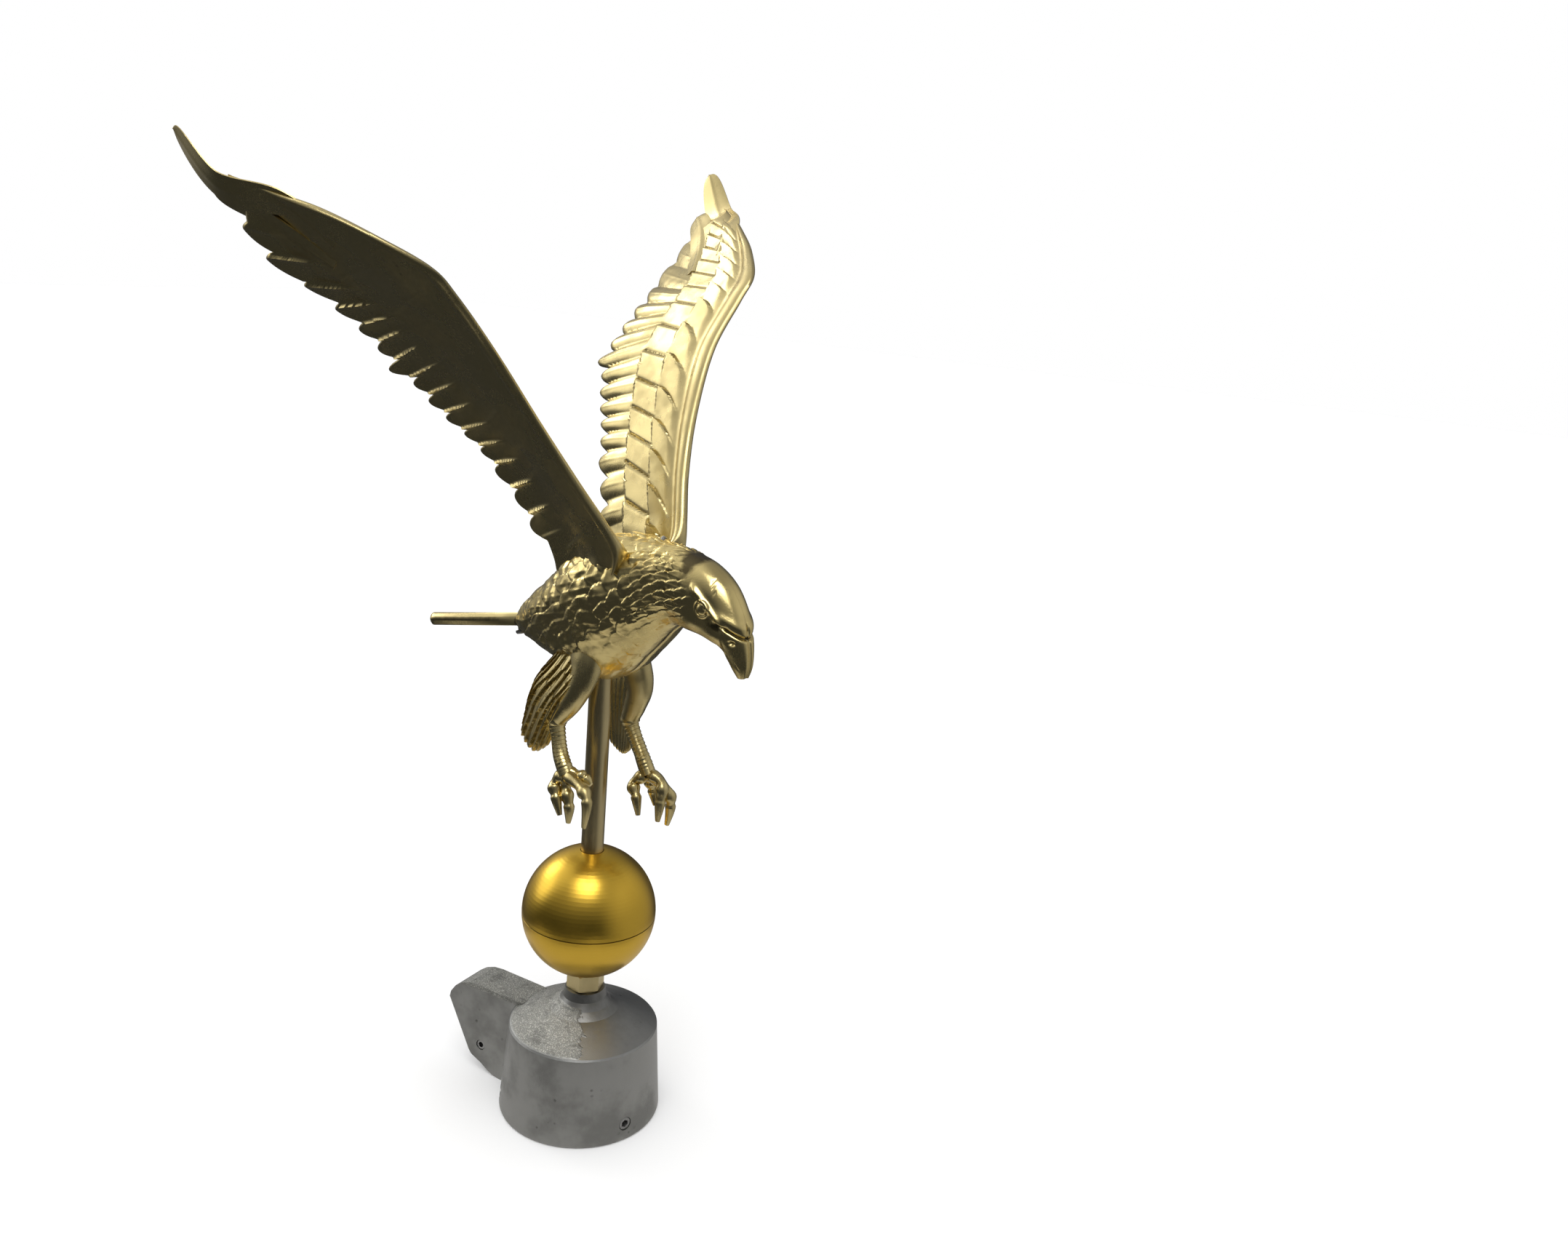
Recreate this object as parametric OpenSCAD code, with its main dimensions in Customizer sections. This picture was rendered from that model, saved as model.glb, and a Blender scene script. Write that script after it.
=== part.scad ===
// Flagpole top: cap truck with a halyard pulley, ball, spindle rod and flying eagle.
// Millimetres, +Z up. Origin: centre of the cap's mouth on the pole axis; the pulley is at -X.

/* [Cap] */
// outside radius of the cap's skirt at its mouth
cap_r = 47; // [44:0.5:55]
// outside radius of the skirt at its rim
rim_r = 43; // [41:0.5:52]
// height of the rim above the mouth
rim_z = 54.5; // [45:0.5:70]
// radius of the socket that takes the pole top
socket_r = 38.75; // [25:0.05:42]
// depth of the pole socket
socket_h = 48; // [35:1:52]
// radius of the neck under the lock nut
neck_r = 11.5; // [9:0.5:16]
// height of the neck's top face
neck_z = 77; // [66:0.5:90]

/* [Pulley] */
// distance of the pulley's axle from the pole axis
axle_x = 66.5; // [60:0.5:75]
// height of the pulley's axle
axle_z = 18; // [15:0.5:30]
// outside radius of the grooved wheel
wheel_r = 12; // [10:0.5:14]
// width of the cast housing
housing_w = 23; // [20:0.5:28]
// width of the rope slot in the housing
slot_w = 12; // [9:0.5:14]

/* [Set screws] */
// height of the three pole screws
screw_z = 10.5; // [8:0.5:20]
// turn of the three pole screws about the pole axis
screw_turn = -20; // [-60:1:60]

/* [Spindle and ball] */
// radius of the spindle rod
rod_r = 6.35; // [5:0.05:8]
// outside radius of the ball
ball_r = 38.1; // [30:0.1:45]
// height of the ball's centre
ball_z = 125.5; // [115:0.5:140]
// wall of the ball's two spun halves
ball_wall = 1.6; // [1:0.1:3]
// distance across the flats of the lock nut
nut_af = 19.05; // [16:0.05:22]
// thickness of the lock nut
nut_h = 11; // [7:0.1:13]

/* [Eagle] */
// turn of the eagle's flight line about the pole axis
eagle_turn = -16; // [-90:1:90]
// number of feathers along each wing's trailing edge
feathers = 18; // [12:1:24]
// lean of both wings to the eagle's right
bank = 1.63; // [-5:0.01:5]
// thickness of the wing's rolled leading edge
bead = 6.5; // [4:0.5:9]
// thickness of the wing at its trailing edge
wing_edge = 1.6; // [1:0.1:3]
// thickness of the tail plate
tail_t = 7; // [3:0.5:8]

/* [Hidden] */
$fn = 96;
eps = 0.01;
silver = [0.62, 0.62, 0.60];
steel = [0.45, 0.45, 0.44];
gold = [0.80, 0.62, 0.25];
ball_gold = [0.86, 0.66, 0.15];
rod_top = 306;
hole_r = rod_r + 0.05;

// ---------- curves and lofts ----------

// point at 0..1 along a smooth curve through all the points of p
function curve(p, u) =
    let (n = len(p) - 1, i = min(floor(u * n), n - 1), f = u * n - i,
        a = p[max(i - 1, 0)], b = p[i], c = p[i + 1], d = p[min(i + 2, n)])
    0.5 * (2 * b + (c - a) * f + (2 * a - 5 * b + 4 * c - d) * f * f
        + (3 * b - a - 3 * c + d) * f * f * f);

function unit(v) = v / norm(v);
function mean(r) = [for (k = [0:2]) [for (q = r) q[k]] * [for (q = r) 1] / len(r)];

// closed solid through equal closed rings, its two ends closed by fans
module loft(rings) {
    n = len(rings[0]);
    m = len(rings);
    pts = concat([for (r = rings) each r], [mean(rings[0]), mean(rings[m - 1])]);
    side = [for (i = [0:m - 2], j = [0:n - 1]) let (k = (j + 1) % n)
        each [[i * n + j, i * n + k, (i + 1) * n + j],
            [i * n + k, (i + 1) * n + k, (i + 1) * n + j]]];
    first = [for (j = [0:n - 1]) [m * n, (j + 1) % n, j]];
    last = [for (j = [0:n - 1]) [m * n + 1, (m - 1) * n + j, (m - 1) * n + (j + 1) % n]];
    polyhedron(concat(pts), concat(side, first, last), convexity = 8);
}

// closed shell through rings that each run out along an outer arc and back along an inner one
module shell_loft(rings) {
    n = len(rings[0]);
    h = n / 2;
    m = len(rings);
    side = [for (i = [0:m - 2], j = [0:n - 1]) let (k = (j + 1) % n)
        each [[i * n + j, i * n + k, (i + 1) * n + j],
            [i * n + k, (i + 1) * n + k, (i + 1) * n + j]]];
    first = [for (j = [0:h - 2]) each [[j + 1, j, n - 1 - j], [j + 1, n - 1 - j, n - 2 - j]]];
    e = (m - 1) * n;
    last = [for (j = [0:h - 2])
        each [[e + j, e + j + 1, e + n - 1 - j], [e + j + 1, e + n - 2 - j, e + n - 1 - j]]];
    polyhedron([for (r = rings) each r], concat(side, first, last), convexity = 10);
}

// tapering limb along a path of [x, y, z, fore-and-aft radius, side radius]
module limb(path, steps = 12, sides = 10) {
    loft([for (i = [0:steps])
        let (q = curve(path, i / steps), a = curve(path, max(i - 0.5, 0) / steps),
            b = curve(path, min(i + 0.5, steps) / steps),
            t = unit([b[0] - a[0], b[1] - a[1], b[2] - a[2]]),
            fore = unit(cross([0.13, 1, 0.07], t)), side = cross(fore, t))
        [for (j = [0:sides - 1]) let (g = 360 * (j + 0.3) / sides)
            [q[0], q[1], q[2]] + q[3] * cos(g) * fore + q[4] * sin(g) * side]]);
}

module in_flight() rotate([0, 0, eagle_turn]) children();

// ---------- cap and its screws ----------

module cap_turning() {
    rotate_extrude() polygon([[0, 0], [cap_r - 1.5, 0], [cap_r - 0.4, 0.6], [cap_r, 1.8],
        [rim_r + 0.2, rim_z - 1], [rim_r - 0.6, rim_z], [30, 60], [20, 64.5], [15.5, 68],
        [12.6, 72], [neck_r, neck_z], [0, neck_z]]);
}

module housing_side() {
    polygon([[-36, 30], [-36, 57], [-70, 58], [-76, 57.4], [-82, 55.2], [-87, 51.5],
        [-90.4, 46.8], [-91.4, 43], [-75.6, 12], [-73.5, 9.4], [-66, 6], [-61, 2.8],
        [-57, 0.9], [-52, 0], [-42, 0], [-42, 30]]);
}

module slot_side() {
    polygon([[-48.3, -1], [-46.2, 44], [-48.5, 48.5], [-53, 50.5], [-70, 51], [-78, 49.5],
        [-84, 44], [-100, 24], [-100, -1]]);
}

module pole_cap() {
    color(silver) difference() {
        union() {
            cap_turning();
            rotate([90, 0, 0]) translate([0, 0, -housing_w / 2])
                linear_extrude(housing_w) housing_side();
        }
        translate([0, 0, -1]) cylinder(r = socket_r, h = socket_h + 1);
        translate([0, 0, -eps]) cylinder(r1 = socket_r + 0.8, r2 = socket_r, h = 0.8);
        cylinder(r = hole_r, h = neck_z + 1);
        rotate([90, 0, 0]) translate([0, 0, -slot_w / 2]) linear_extrude(slot_w) slot_side();
        translate([-axle_x, 0, axle_z]) rotate([90, 0, 0])
            cylinder(r = 3.2, h = housing_w + 2, center = true);
        for (k = [0:2]) rotate([0, 0, screw_turn + 120 * k]) translate([30, 0, screw_z])
            rotate([0, 90, 0]) cylinder(r = 4, h = 20);
    }
}

module pole_set_screws() {
    color(steel) for (k = [0:2]) rotate([0, 0, screw_turn + 120 * k])
        translate([socket_r + 0.25, 0, screw_z]) rotate([0, 90, 0]) difference() {
            rotate_extrude() polygon([[0, 0.6], [2, 0], [3.4, 0], [3.95, 0.6], [3.95, 6.5],
                [3.5, 7], [0, 7]]);
            translate([0, 0, 3]) cylinder(r = 2.3, h = 5, $fn = 6);
        }
}

// ---------- pulley ----------

module pulley_wheel() {
    color(steel) translate([-axle_x, 0, axle_z]) rotate([90, 0, 0]) difference() {
        rotate_extrude() polygon([[0, -5.4], [5.4, -5.4], [6, -4.4], [9.4, -4.4],
            [9.8, -5.2], [wheel_r - 0.5, -5.2], [wheel_r, -4.7], [wheel_r - 2.6, -2.4],
            [wheel_r - 3.9, -1.2], [wheel_r - 4.3, 0], [wheel_r - 3.9, 1.2],
            [wheel_r - 2.6, 2.4], [wheel_r, 4.7], [wheel_r - 0.5, 5.2], [9.8, 5.2],
            [9.4, 4.4], [6, 4.4], [5.4, 5.4], [0, 5.4]]);
        cylinder(r = 4.4, h = 20, center = true);
    }
}

module pulley_bushing() {
    color([0.72, 0.50, 0.25]) translate([-axle_x, 0, axle_z]) rotate([90, 0, 0]) difference() {
        cylinder(r = 4.4, h = 11.2, center = true);
        cylinder(r = 3.22, h = 12, center = true);
    }
}

module pulley_axle() {
    color(steel) translate([-axle_x, 0, axle_z]) rotate([90, 0, 0]) difference() {
        rotate_extrude() polygon([[0, -11.3], [2.7, -11.3], [3.15, -10.8], [3.15, 10.6],
            [2.8, 11], [0, 11]]);
        translate([0, 0, 7]) cylinder(r = 1.85, h = 6, $fn = 6);
    }
}

// ---------- spindle, nut and ball ----------

module spindle_rod() {
    color(gold) rotate_extrude() polygon([[0, 56], [rod_r - 1, 56], [rod_r, 57],
        [rod_r, rod_top - 1], [rod_r - 1, rod_top], [0, rod_top]]);
}

module lock_nut() {
    color(gold) translate([0, 0, neck_z]) rotate([0, 0, -12]) difference() {
        intersection() {
            cylinder(r = nut_af / sqrt(3), h = nut_h, $fn = 6);
            rotate_extrude() polygon([[0, 0], [9.3, 0], [11.1, 1.1], [11.1, nut_h - 1.1],
                [9.3, nut_h], [0, nut_h]]);
        }
        translate([0, 0, -1]) cylinder(r = hole_r, h = nut_h + 2);
    }
}

// section of the ball's wall from polar angle a0 to a1, measured from straight down
function wall_point(r, a) = [r * sin(a), -r * cos(a)];
function wall_arc(r, a0, a1, n = 24) =
    [for (i = [0:n]) wall_point(r, a0 + (a1 - a0) * i / n)];
hole_a = asin((rod_r + 0.35) / ball_r);
seam_a = 88;

module ball_lower_half() {
    ri = ball_r - ball_wall;
    color(ball_gold) translate([0, 0, ball_z]) rotate_extrude() polygon(concat(
        wall_arc(ball_r, hole_a, seam_a - 0.4), [wall_point(ball_r - 0.5, seam_a),
        wall_point(ri - 0.05, seam_a), wall_point(ri - 0.05, seam_a + 6)],
        wall_arc(ri - 1, seam_a + 6, seam_a - 4, 4), wall_arc(ri, seam_a - 6, hole_a)));
}

module ball_upper_half() {
    ri = ball_r - ball_wall;
    color(ball_gold) translate([0, 0, ball_z]) rotate_extrude() polygon(concat(
        [wall_point(ball_r - 0.5, seam_a)], wall_arc(ball_r, seam_a + 0.4, 180 - hole_a),
        wall_arc(ri, 180 - hole_a, seam_a)));
}

// ---------- body ----------

// [x, z, lean, height above the centre, height below, half width, hollow share]
body_line = [[-72, 280, 12, 3, 3, 8, 0.3], [-60, 284, 22, 8, 8, 14, 0.6],
    [-44, 290, 25, 13, 21, 20, 0.75], [-26, 297, 25, 19, 31, 25, 0.8],
    [-8, 304, 25, 27, 40, 27, 0.82], [10, 311, 25, 33, 38, 28, 0.83],
    [26, 318, 22, 32, 32, 26, 0.82], [40, 323, 18, 27, 26, 22, 0.78],
    [52, 327, 10, 23, 21, 18, 0.72], [64, 329, 0, 21, 17, 15.5, 0.65],
    [76, 328, -12, 20, 17, 14.5, 0.6], [87, 324, -25, 18, 14, 13, 0.5],
    [96, 318, -38, 14, 11, 10.5, 0.4], [102, 313, -50, 9.5, 9, 7.5, 0.3],
    [105.5, 307, -62, 7, 7, 5.6, 0.2], [107.5, 301, -74, 5, 5, 4, 0.1],
    [108.5, 296, -82, 2.4, 2.6, 2, 0.05]];
arc_n = 11;

// one cross-section of the left half: out along the skin, back along the hollow
function body_ring(s) =
    let (c = [s[0], 0, s[1]], up = [-sin(s[2]), 0, cos(s[2])],
        arc = function (k) [for (i = [0:arc_n - 1])
            let (g = -90 + 180 * i / (arc_n - 1), h = (g < 0 ? s[4] : s[3]) * sin(g))
            c + k * h * up + [0, k * s[5] * pow(max(cos(g), 0), 0.85), 0]],
        skin = arc(1), hollow = arc(s[6]))
    concat([for (i = [0:arc_n - 1]) [skin[i][0], i == 0 || i == arc_n - 1 ? 0 : skin[i][1],
        skin[i][2]]],
        [for (i = [arc_n - 1:-1:0]) [hollow[i][0],
            i == 0 || i == arc_n - 1 ? 0 : hollow[i][1], hollow[i][2]]]);

module body_half() {
    difference() {
        shell_loft([for (i = [0:len(body_line) - 2], k = [0, 0.5])
            body_ring(curve(body_line, (i + k) / (len(body_line) - 1)))]);
        translate([0, 0, 250]) cylinder(r = hole_r, h = 40);
    }
}

module body_left() {
    color(gold) in_flight() difference() {
        body_half();
        for (x = [-10, 10]) translate([x, 0, 298]) rotate([-90, 0, 0]) {
            cylinder(r = 2.2, h = 60);
            translate([0, 0, 23]) cylinder(r = 4.2, h = 30);
        }
    }
}

module body_right() {
    color(gold) in_flight() mirror([0, 1, 0]) body_half();
}

module spindle_anchor() {
    color(steel) in_flight() difference() {
        translate([-16, -9, 280]) cube([32, 18, 30]);
        translate([0, 0, 279]) cylinder(r = hole_r, h = 32);
        for (x = [-10, 10]) translate([x, 0, 298]) rotate([90, 0, 0])
            cylinder(r = 2.2, h = 30, center = true);
    }
}

module body_cross_screws() {
    color(steel) in_flight() for (x = [-10, 10]) translate([x, 23, 298]) rotate([90, 0, 0])
        difference() {
            rotate_extrude() polygon([[0, -2.6], [2.6, -2.6], [3.8, -1.4], [3.8, 0], [2.1, 0],
                [2.1, 46], [1.6, 46.6], [0, 46.6]]);
            translate([0, 0, -4]) cylinder(r = 1.5, h = 3, $fn = 6);
        }
}

// ---------- wings ----------

lead_line = [[34, 17, 338], [37, 22, 350], [22, 36, 379], [10, 51, 408], [1, 70, 441],
    [-1, 90, 467], [-4, 102, 480], [-23, 118, 492], [-43, 131, 501], [-66, 146, 508],
    [-95, 161, 517], [-111, 168, 533]];
trail_line = [[-12, 13, 322], [-26, 22, 343], [-52, 37, 377], [-73, 53, 401],
    [-92, 70, 425], [-97, 96, 451], [-105, 120, 469], [-107, 136, 484], [-109, 150, 502],
    [-113, 160, 518], [-115, 166, 528], [-112, 168.5, 534]];
chord_steps = [0, 0.05, 0.13, 0.28, 0.52, 0.78, 1];

// share of the chord that a notch between two feathers takes away
function notch(u) =
    let (f = (1 - u) * feathers, g = f - floor(f), depth = 0.07 + 0.42 * pow(u, 4))
    u < 0.09 ? 0 : depth * pow(g, 1.6);

function wing_ring(u) =
    let (a = curve(lead_line, u), b0 = curve(trail_line, u), b = b0 + (a - b0) * notch(u),
        s = curve(lead_line, min(u + 0.02, 1)) - curve(lead_line, max(u - 0.02, 0)),
        n = unit(cross(s, b - a + [-1, 0, 0])), th = bead * (1 - 0.62 * u),
        half = function (t) t == 1 ? wing_edge * (1 - 0.4 * u) / 2
            : th * (t < 0.04 ? 0.3 : t < 0.1 ? 0.5 : 0.5 - 0.28 * min(1, t / 0.4)),
        mid = function (t) a + (b - a) * t + n * (5 * (1 - 0.5 * u) * 4 * t * (1 - t) * (t - 0.2)))
    concat([for (t = chord_steps) mid(t) + n * half(t)],
        [for (i = [len(chord_steps) - 1:-1:0]) let (t = chord_steps[i]) mid(t) - n * half(t)]);

module wing() {
    steps = feathers * 4;
    loft([for (i = [0:steps]) wing_ring(i == steps ? 0.995 : i / steps)]);
}

module banked() translate([0, 0, 300]) rotate([bank, 0, 0]) translate([0, 0, -300]) children();

module wing_left() { color(gold) in_flight() banked() wing(); }
module wing_right() { color(gold) in_flight() banked() mirror([0, 1, 0]) wing(); }

module wing_screws() {
    color(steel) in_flight() for (side = [-1, 1], x = [6, 26])
        translate([x, side * 9, 328 + x * 0.25]) rotate([-side * 30, 0, 0]) rotate_extrude()
            polygon([[0, -2], [2.6, -2], [3.4, -1.2], [3.4, 0], [1.6, 0], [1.6, 15],
                [1.2, 15.6], [0, 15.6]]);
}

// ---------- tail ----------

// outline of half the tail: [distance back from its root, half width]
tail_edge = [[0, 9], [14, 12], [30, 18], [46, 25], [58, 30]];
tail_drop = 14;
tail_roll = -8;

module tail() {
    color(gold) in_flight() translate([-66, 0, 282]) rotate([tail_roll, -tail_drop, 0])
        translate([0, 0, -tail_t / 2]) linear_extrude(tail_t) polygon(concat(
            [for (p = tail_edge) [-p[0], -p[1]]],
            [for (i = [0:12]) let (a = -30 + 5 * i, r = i % 2 == 0 ? 66 : 62)
                [-r * cos(a) - 4, r * sin(a) * 0.92]],
            [for (i = [4:-1:0]) [-tail_edge[i][0], tail_edge[i][1]]]));
}

module tail_screws() {
    color(steel) in_flight() for (y = [-4.5, 4.5]) translate([-68.5, y, 273.4])
        rotate([0, -tail_drop, 0]) rotate_extrude()
            polygon([[0, 0], [2.4, 0], [3, 0.7], [3, 1.9], [1.5, 2.2], [1.5, 9.5], [0, 9.5]]);
}

// ---------- legs ----------

// one toe through its knuckle and mid joint to the claw's point
module toe(a, b, c, d) {
    limb([[a[0], a[1], a[2], 2.6, 2.6], [b[0], b[1], b[2], 3.3, 3.3],
        [c[0], c[1], c[2], 2.6, 2.6], [d[0], d[1], d[2], 0.6, 0.6]], 6, 7);
}

// room for the rod and its anchor between the two thighs
module spindle_room() translate([-30, -9.4, 240]) cube([60, 18.8, 80]);

module leg_right() {
    color(gold) in_flight() difference() {
        leg_right_casting();
        spindle_room();
    }
}

module leg_right_casting() {
    union() {
        limb([[-2, -14, 286, 17, 11], [-1, -19, 274, 19, 12], [-1, -23, 262, 15, 10.5],
            [0, -25, 252, 8, 7], [1, -25, 244, 4.8, 4.8], [0, -25, 232, 4, 4],
            [1, -25, 221, 4.6, 4.4], [3, -25, 213, 4.2, 4]], 14, 10);
        limb([[-9, -21, 264, 7, 7], [-13, -23, 252, 8, 7.5], [-16, -25, 240, 6, 6],
            [-18, -25, 230, 4, 4.5], [-19, -25, 223, 1.5, 2.5]], 6, 9);
        toe([4, -26, 217], [12, -28, 210], [16, -29, 202], [17, -28, 187]);
        toe([1, -27, 216], [-4, -32, 210], [-2, -34, 200], [1, -33, 190]);
        toe([4, -23, 216], [9, -19, 212], [15, -17, 208], [20, -17, 202]);
        toe([-1, -24, 217], [-7, -22, 211], [-8, -21, 200], [-4, -21, 190]);
    }
}

module leg_left() {
    color(gold) in_flight() difference() {
        leg_left_casting();
        spindle_room();
    }
}

module leg_left_casting() {
    union() {
        limb([[0, 14, 284, 16, 11], [4, 18, 272, 17, 11.5], [6, 22, 260, 12, 9.5],
            [6, 24, 249, 7.5, 7], [5, 24, 239, 4.8, 4.8], [8, 24, 226, 4, 4],
            [13, 24, 213, 4.4, 4.2], [17, 24, 205, 4.4, 4.2]], 14, 10);
        limb([[-5, 19, 264, 7, 7], [-6, 22, 250, 8, 7.5], [-7, 24, 236, 6, 6],
            [-8, 25, 224, 4, 4.5], [-8, 25, 215, 1.5, 2.5]], 6, 9);
        toe([14, 22, 206], [10, 18, 200], [8, 16, 192], [11, 16, 181]);
        toe([18, 23, 207], [27, 21, 200], [30, 21, 191], [28, 21, 182]);
        toe([18, 26, 206], [26, 30, 201], [32, 31, 192], [33, 30, 183]);
        toe([15, 27, 206], [12, 33, 200], [12, 35, 192], [15, 34, 184]);
    }
}

module leg_screws() {
    color(steel) in_flight() for (side = [-1, 1]) translate([0, side * 14.5, 287])
        rotate([180 + side * 20, 0, 0]) rotate_extrude()
            polygon([[0, -2], [2.6, -2], [3.4, -1.2], [3.4, 0], [1.8, 0], [1.8, 16], [0, 16.6]]);
}

pole_cap();
pole_set_screws();
pulley_wheel();
pulley_bushing();
pulley_axle();
spindle_rod();
lock_nut();
ball_lower_half();
ball_upper_half();
spindle_anchor();
body_right();
body_left();
body_cross_screws();
wing_right();
wing_left();
wing_screws();
tail();
tail_screws();
leg_right();
leg_left();
leg_screws();
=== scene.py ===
"""Looks of a flagpole top: a cast cap with a halyard pulley, a lock nut, a ball, a spindle rod and a
flying eagle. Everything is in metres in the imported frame: +Z runs up the pole and the pulley is at -X.
The eagle is shaped in millimetres along its own flight line and then turned about the pole."""

import logging
import math
from collections.abc import Callable
from dataclasses import dataclass
from enum import Enum

import bpy
import numpy as np
from mathutils import Matrix, Vector


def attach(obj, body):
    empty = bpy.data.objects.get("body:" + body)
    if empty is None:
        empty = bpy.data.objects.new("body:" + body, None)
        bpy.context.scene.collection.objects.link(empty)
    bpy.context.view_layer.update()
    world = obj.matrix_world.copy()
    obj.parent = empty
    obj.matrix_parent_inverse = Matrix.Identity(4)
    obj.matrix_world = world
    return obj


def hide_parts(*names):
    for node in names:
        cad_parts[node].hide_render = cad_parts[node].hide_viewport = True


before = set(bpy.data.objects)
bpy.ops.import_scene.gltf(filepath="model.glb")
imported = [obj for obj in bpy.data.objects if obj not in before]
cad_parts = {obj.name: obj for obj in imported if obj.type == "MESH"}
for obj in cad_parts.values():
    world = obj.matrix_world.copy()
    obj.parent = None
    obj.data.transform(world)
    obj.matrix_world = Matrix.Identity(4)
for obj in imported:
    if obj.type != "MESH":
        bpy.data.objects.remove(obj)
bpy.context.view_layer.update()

log = logging.getLogger("flagpole_top")
Array = np.ndarray
Triple = tuple[float, float, float]
MM = 0.001
FLIGHT_TURN = math.radians(-16)
TRUCK = "truck"
GOLD_SLOT = "gold_plate"


# ---------- curves, noise and feather relief ----------

def ease(x: Array, low: float, high: float) -> Array:
    """Smooth step: 0 below low, 1 above high, t*t*(3-2t) between them."""
    t = np.clip((np.asarray(x, float) - low) / (high - low), 0, 1)
    return t * t * (3 - 2 * t)


def bump(x: Array, centre: float, width: float) -> Array:
    """Bell of height 1: exp(-((x - centre) / width)^2)."""
    return np.exp(-(((np.asarray(x, float) - centre) / width) ** 2))


def curve(points: Array, u: Array) -> Array:
    """Catmull-Rom curve through evenly spaced points.

    Args:
        points: control points, one a row.
        u: places along the curve, 0 to 1, of any shape.

    Returns:
        One point for each value of u, along a new last axis.
    """
    p = np.asarray(points, float)
    n = len(p) - 1
    x = np.clip(np.asarray(u, float), 0, 1) * n
    i = np.minimum(x.astype(int), n - 1)
    f = (x - i)[..., None]
    a, b, c, d = p[np.maximum(i - 1, 0)], p[i], p[i + 1], p[np.minimum(i + 2, n)]
    bend, twist = 2 * a - 5 * b + 4 * c - d, 3 * b - a - 3 * c + d
    return 0.5 * (2 * b + (c - a) * f + bend * f**2 + twist * f**3)


def unit(v: Array) -> Array:
    """Vectors along the last axis at length 1."""
    return v / np.maximum(np.linalg.norm(v, axis=-1, keepdims=True), 1e-9)


def chance(*cells: Array) -> Array:
    """Repeatable value from 0 to 1 for whole-numbered cells: fraction of a large sine of their sum."""
    total = sum(np.asarray(c, float) * k for c, k in zip(cells, (12.9898, 78.233, 37.719)))
    return np.mod(np.abs(np.sin(total) * 43758.5453), 1.0)


def mottle(points: Array, cell: float) -> Array:
    """Smooth noise from -1 to 1: eased mixing of random values at the corners of a cube grid.

    Args:
        points: places, with x, y, z on the last axis.
        cell: edge of a grid cube, in the same unit.

    Returns:
        One value a place.
    """
    q = np.asarray(points, float) / cell
    i = np.floor(q)
    f = q - i
    f = f * f * (3 - 2 * f)
    total = np.zeros(q.shape[:-1])
    for corner in np.ndindex(2, 2, 2):
        weight = np.prod(np.where(np.array(corner) == 1, f, 1 - f), axis=-1)
        total += weight * chance(*(i[..., k] + corner[k] for k in range(3)))
    return 2 * total - 1


def shingles(down: Array, across: Array, point: float, tilt: float) -> Array:
    """Relief of overlapping feathers, from 0 in the gaps to about 1 at the tips.

    Each feather rises from its root to its tip and is rounded across; its tip lies at
    1.5 - point * q^2 row lengths, where q runs -1 to 1 across it. The highest feather wins.

    Args:
        down: distance along the feathers, in row lengths.
        across: distance across them, in feather widths.
        point: how far the tip's corners draw back.
        tilt: how much one edge of each feather stands above the other.

    Returns:
        Height for each place.
    """
    best = np.zeros(np.broadcast(down, across).shape)
    for back in (0, 1):
        row = np.floor(down) - back
        shift = across - 0.5 * np.mod(row, 2)
        for side in (0, 1):
            column = np.floor(shift) + side
            q = (shift - column) / 0.62
            tip = 1.5 - point * q * q + 0.12 * (chance(row, column) - 0.5)
            p = (down - row) / tip
            inside = (np.abs(q) < 1) & (p < 1)
            height = 0.3 + 0.62 * p - 0.3 * q * q + tilt * q + 0.2 * (chance(column, row) - 0.5)
            shaft = 0.1 * bump(q, 0, 0.12)
            best = np.maximum(best, np.where(inside, height + shaft, 0))
    return best


def rounded(x: Array, start: float, width: float, least: float) -> Array:
    """Quarter-ellipse edge: 1 up to start, then sqrt(1 - ((x - start) / width)^2), at least sqrt(least)."""
    return np.sqrt(np.clip(1 - np.clip((x - start) / width, 0, 1) ** 2, least, 1))


def half_round(x: Array, radius: float) -> Array:
    """Semicircle of height 1 over x from 0 to twice the radius, and 0 past it."""
    return np.sqrt(np.clip(1 - ((x - radius) / radius) ** 2, 0, 1)) * (x < 2 * radius)


def both_faces(upper: Array, lower: Array) -> Array:
    """Rings that run across the upper face and come back along the lower one."""
    return np.concatenate([upper, lower[:, ::-1]], axis=1)


# ---------- meshes ----------

@dataclass
class Shell:
    """One closed surface: vertices in millimetres on the flight line, quads, and a value a vertex."""

    points: Array
    faces: Array
    relief: Array
    uv: Array


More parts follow.
